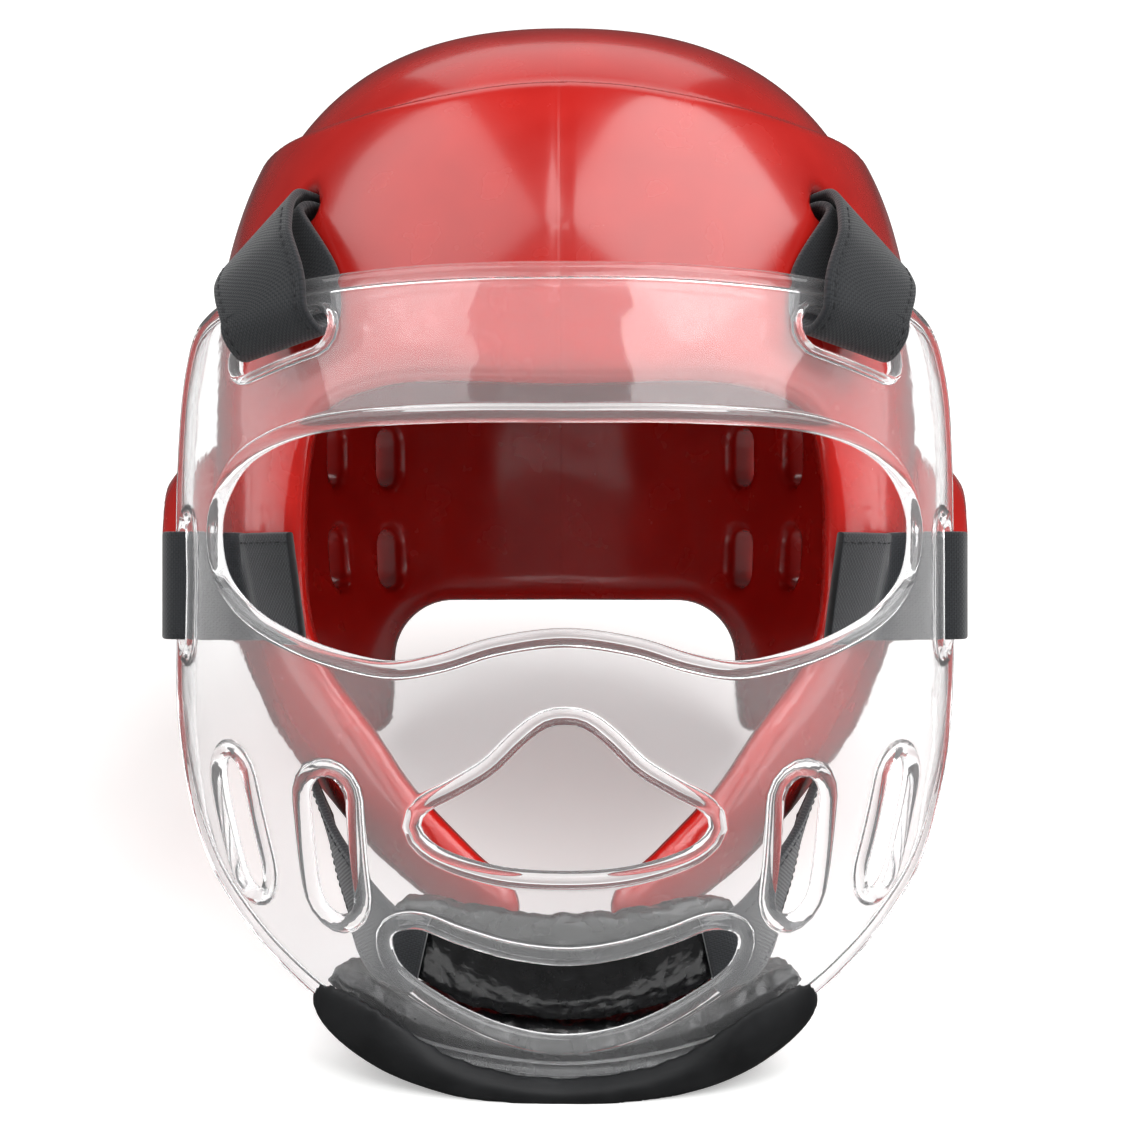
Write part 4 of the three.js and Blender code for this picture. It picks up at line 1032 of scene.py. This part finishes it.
# Chin pad: a thick foam lip outside the shield, a creased vinyl wrap inside
pad = {
    "half": 55.5, "lip": 6.4, "inner": 14, "reach": 12, "gap": 0.9, "endSize": 0.42,
    "stations": 96, "outline": 72, "voxel": 0.0009, "crease": 0.8,
}
padProfile = {  # how far the lip reaches over and under the shield's edge, and the inner part over it
    "across": (0, 0.44, 0.7, 0.86, 1),
    "over": (3.6, 5.6, 10.8, 13.5, 14.0),
    "under": (2.7, 4.4, 3.9, 2.6, 0.8),
    "inner": (9.0, 8.6, 9.0, 9.0, 8.0),
}


def edgeLevels():
    third = shield["bottom"] + (shield["top"] - shield["bottom"]) / 3
    low = shieldEdge[shieldEdge[:, 1] < third]
    low = low[np.argsort(low[:, 0])]
    return lambda u: np.interp(u, low[:, 0], low[:, 1])


def padRings(xs, outlines):
    level = edgeLevels()
    reach = float(unroll(pad["half"], shield["bottom"] + pad["reach"]))
    rings = []
    for x, outline in zip(xs, outlines):
        u = x / pad["half"] * reach
        z = float(level(u))
        normal = shieldFrame(u, z)["normal"]
        along = unit(shieldPoint(u + 2, float(level(u + 2))) - shieldPoint(u - 2, float(level(u - 2))))
        down = unit(np.cross(along, normal))
        down = -down if down[2] > 0 else down
        rings.append(shieldPoint(u, z) + outline[:, :1] * normal + outline[:, 1:] * down)
    return rings


def loftMesh(name, rings):
    return addObject(name, meshOf(name, np.vstack(rings), tubeFaces(len(rings), len(rings[0]))))


def toHead(points):
    p = np.asarray(points, float) * 1000
    y, z = p[:, 1] - rest["back"], p[:, 2] - rest["up"]
    return np.stack([p[:, 0], leanCos * y - leanSin * z, leanSin * y + leanCos * z], 1)


def arrayOf(items, key, kind=float):
    values = np.empty(len(items) * 3, kind)
    items.foreach_get(key, values)
    return values.reshape(-1, 3)


def padSection(share):
    groove = shield["beadThick"] / 2 + pad["gap"]
    lip, inner = pad["lip"], pad["inner"]
    out, back = groove + lip, -groove - inner
    over, under, height = (float(readColumn(padProfile, key, abs(share)))
                           for key in ("over", "under", "inner"))
    loop = curveThrough([
        (groove - 0.08 * lip, -over), (out - 0.16 * lip, -0.6 * over), (out, 0.1 * under),
        (out - 0.4 * lip, 0.8 * under), (0, under), (back + 0.29 * inner, 0.9 * under),
        (back, -0.1 * height),
        (back + 0.14 * inner, -0.85 * height), (-groove - 0.29 * inner, -height),
        (-groove - 0.04 * inner, -0.76 * height)], 20 * pad["outline"], closed=True)
    length = np.linalg.norm(np.diff(loop, axis=0), axis=1).sum()
    loop = evenly(loop, length / (pad["outline"] - 0.2))
    middle = np.array([(out + back) / 2, (under - over) / 2])
    size = pad["endSize"] + (1 - pad["endSize"]) * math.sqrt(1 - min(share ** 8, 1))
    return (loop - middle) * size + middle


def makePad():
    groove = shield["beadThick"] / 2 + pad["gap"]
    across = -np.cos(np.linspace(0, math.pi, pad["stations"] + 1))
    body = loftMesh("padBody", padRings(across * pad["half"], [padSection(share) for share in across]))
    cut = evenly(np.array([(-groove, -2 * pad["reach"]), (groove, -2 * pad["reach"]), (groove, pad["gap"]),
                           (-groove, pad["gap"])]), 1.5)
    xs = np.linspace(-1.07, 1.07, 61) * pad["half"]
    slot = loftMesh("padSlot", padRings(xs, [cut] * len(xs)))
    take = body.modifiers.new("groove", "BOOLEAN")
    take.operation, take.object, take.solver = "DIFFERENCE", slot, "EXACT"
    mesh = body.modifiers.new("even", "REMESH")
    mesh.mode, mesh.voxel_size = "VOXEL", pad["voxel"]
    soft = body.modifiers.new("soft", "SMOOTH")
    soft.iterations, soft.factor = 6, 0.5
    ready = evaluated(body, slot)
    places, normals = arrayOf(ready.vertices, "co"), arrayOf(ready.vertices, "normal", np.float32)
    head = toHead(places)
    outside = shieldSide(head)
    folds = creases(head * [1.0, 0.5, 0.35], 7.0, 3.0)
    inner = np.clip(-outside / 1.5, 0, 1)
    places = places - normals * (inner * folds * pad["crease"] / 1000)[:, None]
    places = places + normals * (grain(head, 14.0, 2, 9.0) * 0.15 / 1000)[:, None]
    places[:, 2] = np.maximum(places[:, 2], 0)
    ready.vertices.foreach_set("co", places.ravel())
    ready.update()
    ready.materials.clear()
    ready.materials.append(matteFoam)
    ready.materials.append(creasedVinyl)
    side = shieldSide(toHead(arrayOf(ready.polygons, "center")))
    ready.polygons.foreach_set("material_index", (side < 1.0).astype(np.int32))
    declare("chinPad", ready, "foam_pad", "chin_pad")
    print("pad made", len(ready.polygons))


def shieldSide(head):  # how far ahead of the shield's sheet, roughly
    half, edge, front = shieldSection(np.clip(head[:, 2], shield["bottom"], shield["top"]))
    sheet = edge + (front - edge) * np.cos(np.arcsin(np.clip(np.abs(head[:, 0]) / half, 0, 0.996)))
    return sheet - head[:, 1]


makePad()


# Chin cup: creased vinyl over foam, with a seam across its right part
def makeCup():
    stations, sides = 120, 72
    points, n = [], sides
    for k in range(stations + 1):
        share = -math.cos(math.pi * k / stations)
        size = cup["endSize"] + (1 - cup["endSize"]) * math.sqrt(max(0, 1 - share ** 6))
        u, z = cupPlace(share)
        turns = 2 * math.pi * np.arange(sides) / sides
        rounded = [np.sign(f(turns)) * np.abs(f(turns)) ** 0.6 for f in (np.sin, np.cos)]
        level = z + cup["halfHeight"] * size * rounded[0]
        away = -cup["setBack"] - cup["thickness"] / 2 + cup["thickness"] / 2 * rounded[1]
        points.append(shieldOffset(np.full(n, u), level, away))
    points = np.vstack(points)
    centre = points.reshape(stations + 1, n, 3).mean(1).repeat(n, 0)
    outward = unit(points - centre)
    folds = creases(points * [0.6, 0.6, 1.2], 8.0, 11.0) * 0.7 + creases(points, 3.4, 5.0) * 0.25
    seam = np.exp(-((points[:, 0] - 20 + 0.45 * (points[:, 2] - cup["z"])) / 0.9) ** 2)
    points = points - outward * (folds + 0.5 * seam)[:, None]
    faces = tubeFaces(stations + 1, n)
    piece = makePiece("chinCup", points, faces, creasedVinyl, "pad_vinyl", "chin_cup")
    print("cup made")


makeCup()

# Floor and light
studio = {
    "floor": 0.9, "sides": 96, "pale": (0.9, 0.905, 0.895), "dark": (0.12, 0.12, 0.12),
    "glow": 0.36, "seen": 1.2, "fill": 0.24, "mirrored": 0.06,
    "left": (-75, 51, 2.0, (2.3, 1.8), 23), "right": (70, 56, 2.0, (2.4, 2.0), 45),
    "back": (180, 38, 2.0, (1.5, 1.1), 3.4),
}


def lookedAt(tree):  # whether a surface is seen, straight or through something clear, and whether mirrored
    path = tree.nodes.new("ShaderNodeLightPath")
    through = path.outputs["Is Transmission Ray"]
    straight = mathNode(tree, "LESS_THAN", path.outputs["Diffuse Depth"], 0.5)
    seen = mathNode(tree, "MAXIMUM", path.outputs["Is Camera Ray"], through)
    reflected = mathNode(tree, "SUBTRACT", 1.0, through)
    return (mathNode(tree, "MULTIPLY", seen, straight),
            mathNode(tree, "MULTIPLY", path.outputs["Is Glossy Ray"], reflected))


def makeFloor():
    mesh = bpy.data.meshes.new("floor")
    r, count = studio["floor"], studio["sides"]
    turns = [2 * math.pi * k / count for k in range(count)]
    ring = [(r * math.cos(turn), r * math.sin(turn), 0) for turn in turns]
    mesh.from_pydata(ring, [], [list(range(count))])
    material, tree, skin = shaderOf("paleFloor", studio["pale"], 0.6, **{
        "Specular IOR Level": 0.1, "Emission Color": (1, 1, 0.995, 1)})
    seen, mirrored = lookedAt(tree)
    tree.links.new(mathNode(tree, "MULTIPLY", seen, studio["glow"]), skin.inputs["Emission Strength"])
    shade = tree.nodes.new("ShaderNodeMix")
    shade.data_type = "RGBA"
    tree.links.new(mirrored, shade.inputs[0])
    for k, colour in ((6, studio["pale"]), (7, studio["dark"])):
        shade.inputs[k].default_value = (*colour, 1)
    tree.links.new(shade.outputs[2], skin.inputs["Base Color"])
    mesh.materials.append(material)
    addObject("floor", mesh)


def makeLight(name, azimuth, elevation, distance, size, power):
    data = bpy.data.lights.new(name, "AREA")
    data.shape, (data.size, data.size_y), data.energy = "RECTANGLE", size, power
    lamp = addObject(name, data)
    a, e = math.radians(azimuth), math.radians(elevation)
    way = Vector((math.sin(a) * math.cos(e), -math.cos(a) * math.cos(e), math.sin(e)))
    lamp.location = Vector((0, 0, 0.12)) + way * distance
    lamp.rotation_euler = (-way).to_track_quat("-Z", "Y").to_euler()


def makeStudio():
    makeFloor()
    world = bpy.data.worlds.new("studio")
    world.use_nodes = True
    tree = world.node_tree
    sky = tree.nodes["Background"]
    sky.inputs[0].default_value = (1, 1, 1, 1)
    seen, mirrored = lookedAt(tree)
    glossy = mathNode(tree, "MULTIPLY", mirrored, studio["mirrored"] - studio["fill"])
    other = mathNode(tree, "ADD", glossy, studio["fill"])
    white = mathNode(tree, "MULTIPLY", seen, studio["seen"])
    tree.links.new(mathNode(tree, "MAXIMUM", white, other), sky.inputs[1])
    bpy.context.scene.world = world
    for side in ("left", "right", "back"):
        makeLight(side + "Softbox", *studio[side])
    bpy.context.scene.view_settings.view_transform = "Standard"


makeStudio()
bpy.context.view_layer.update()
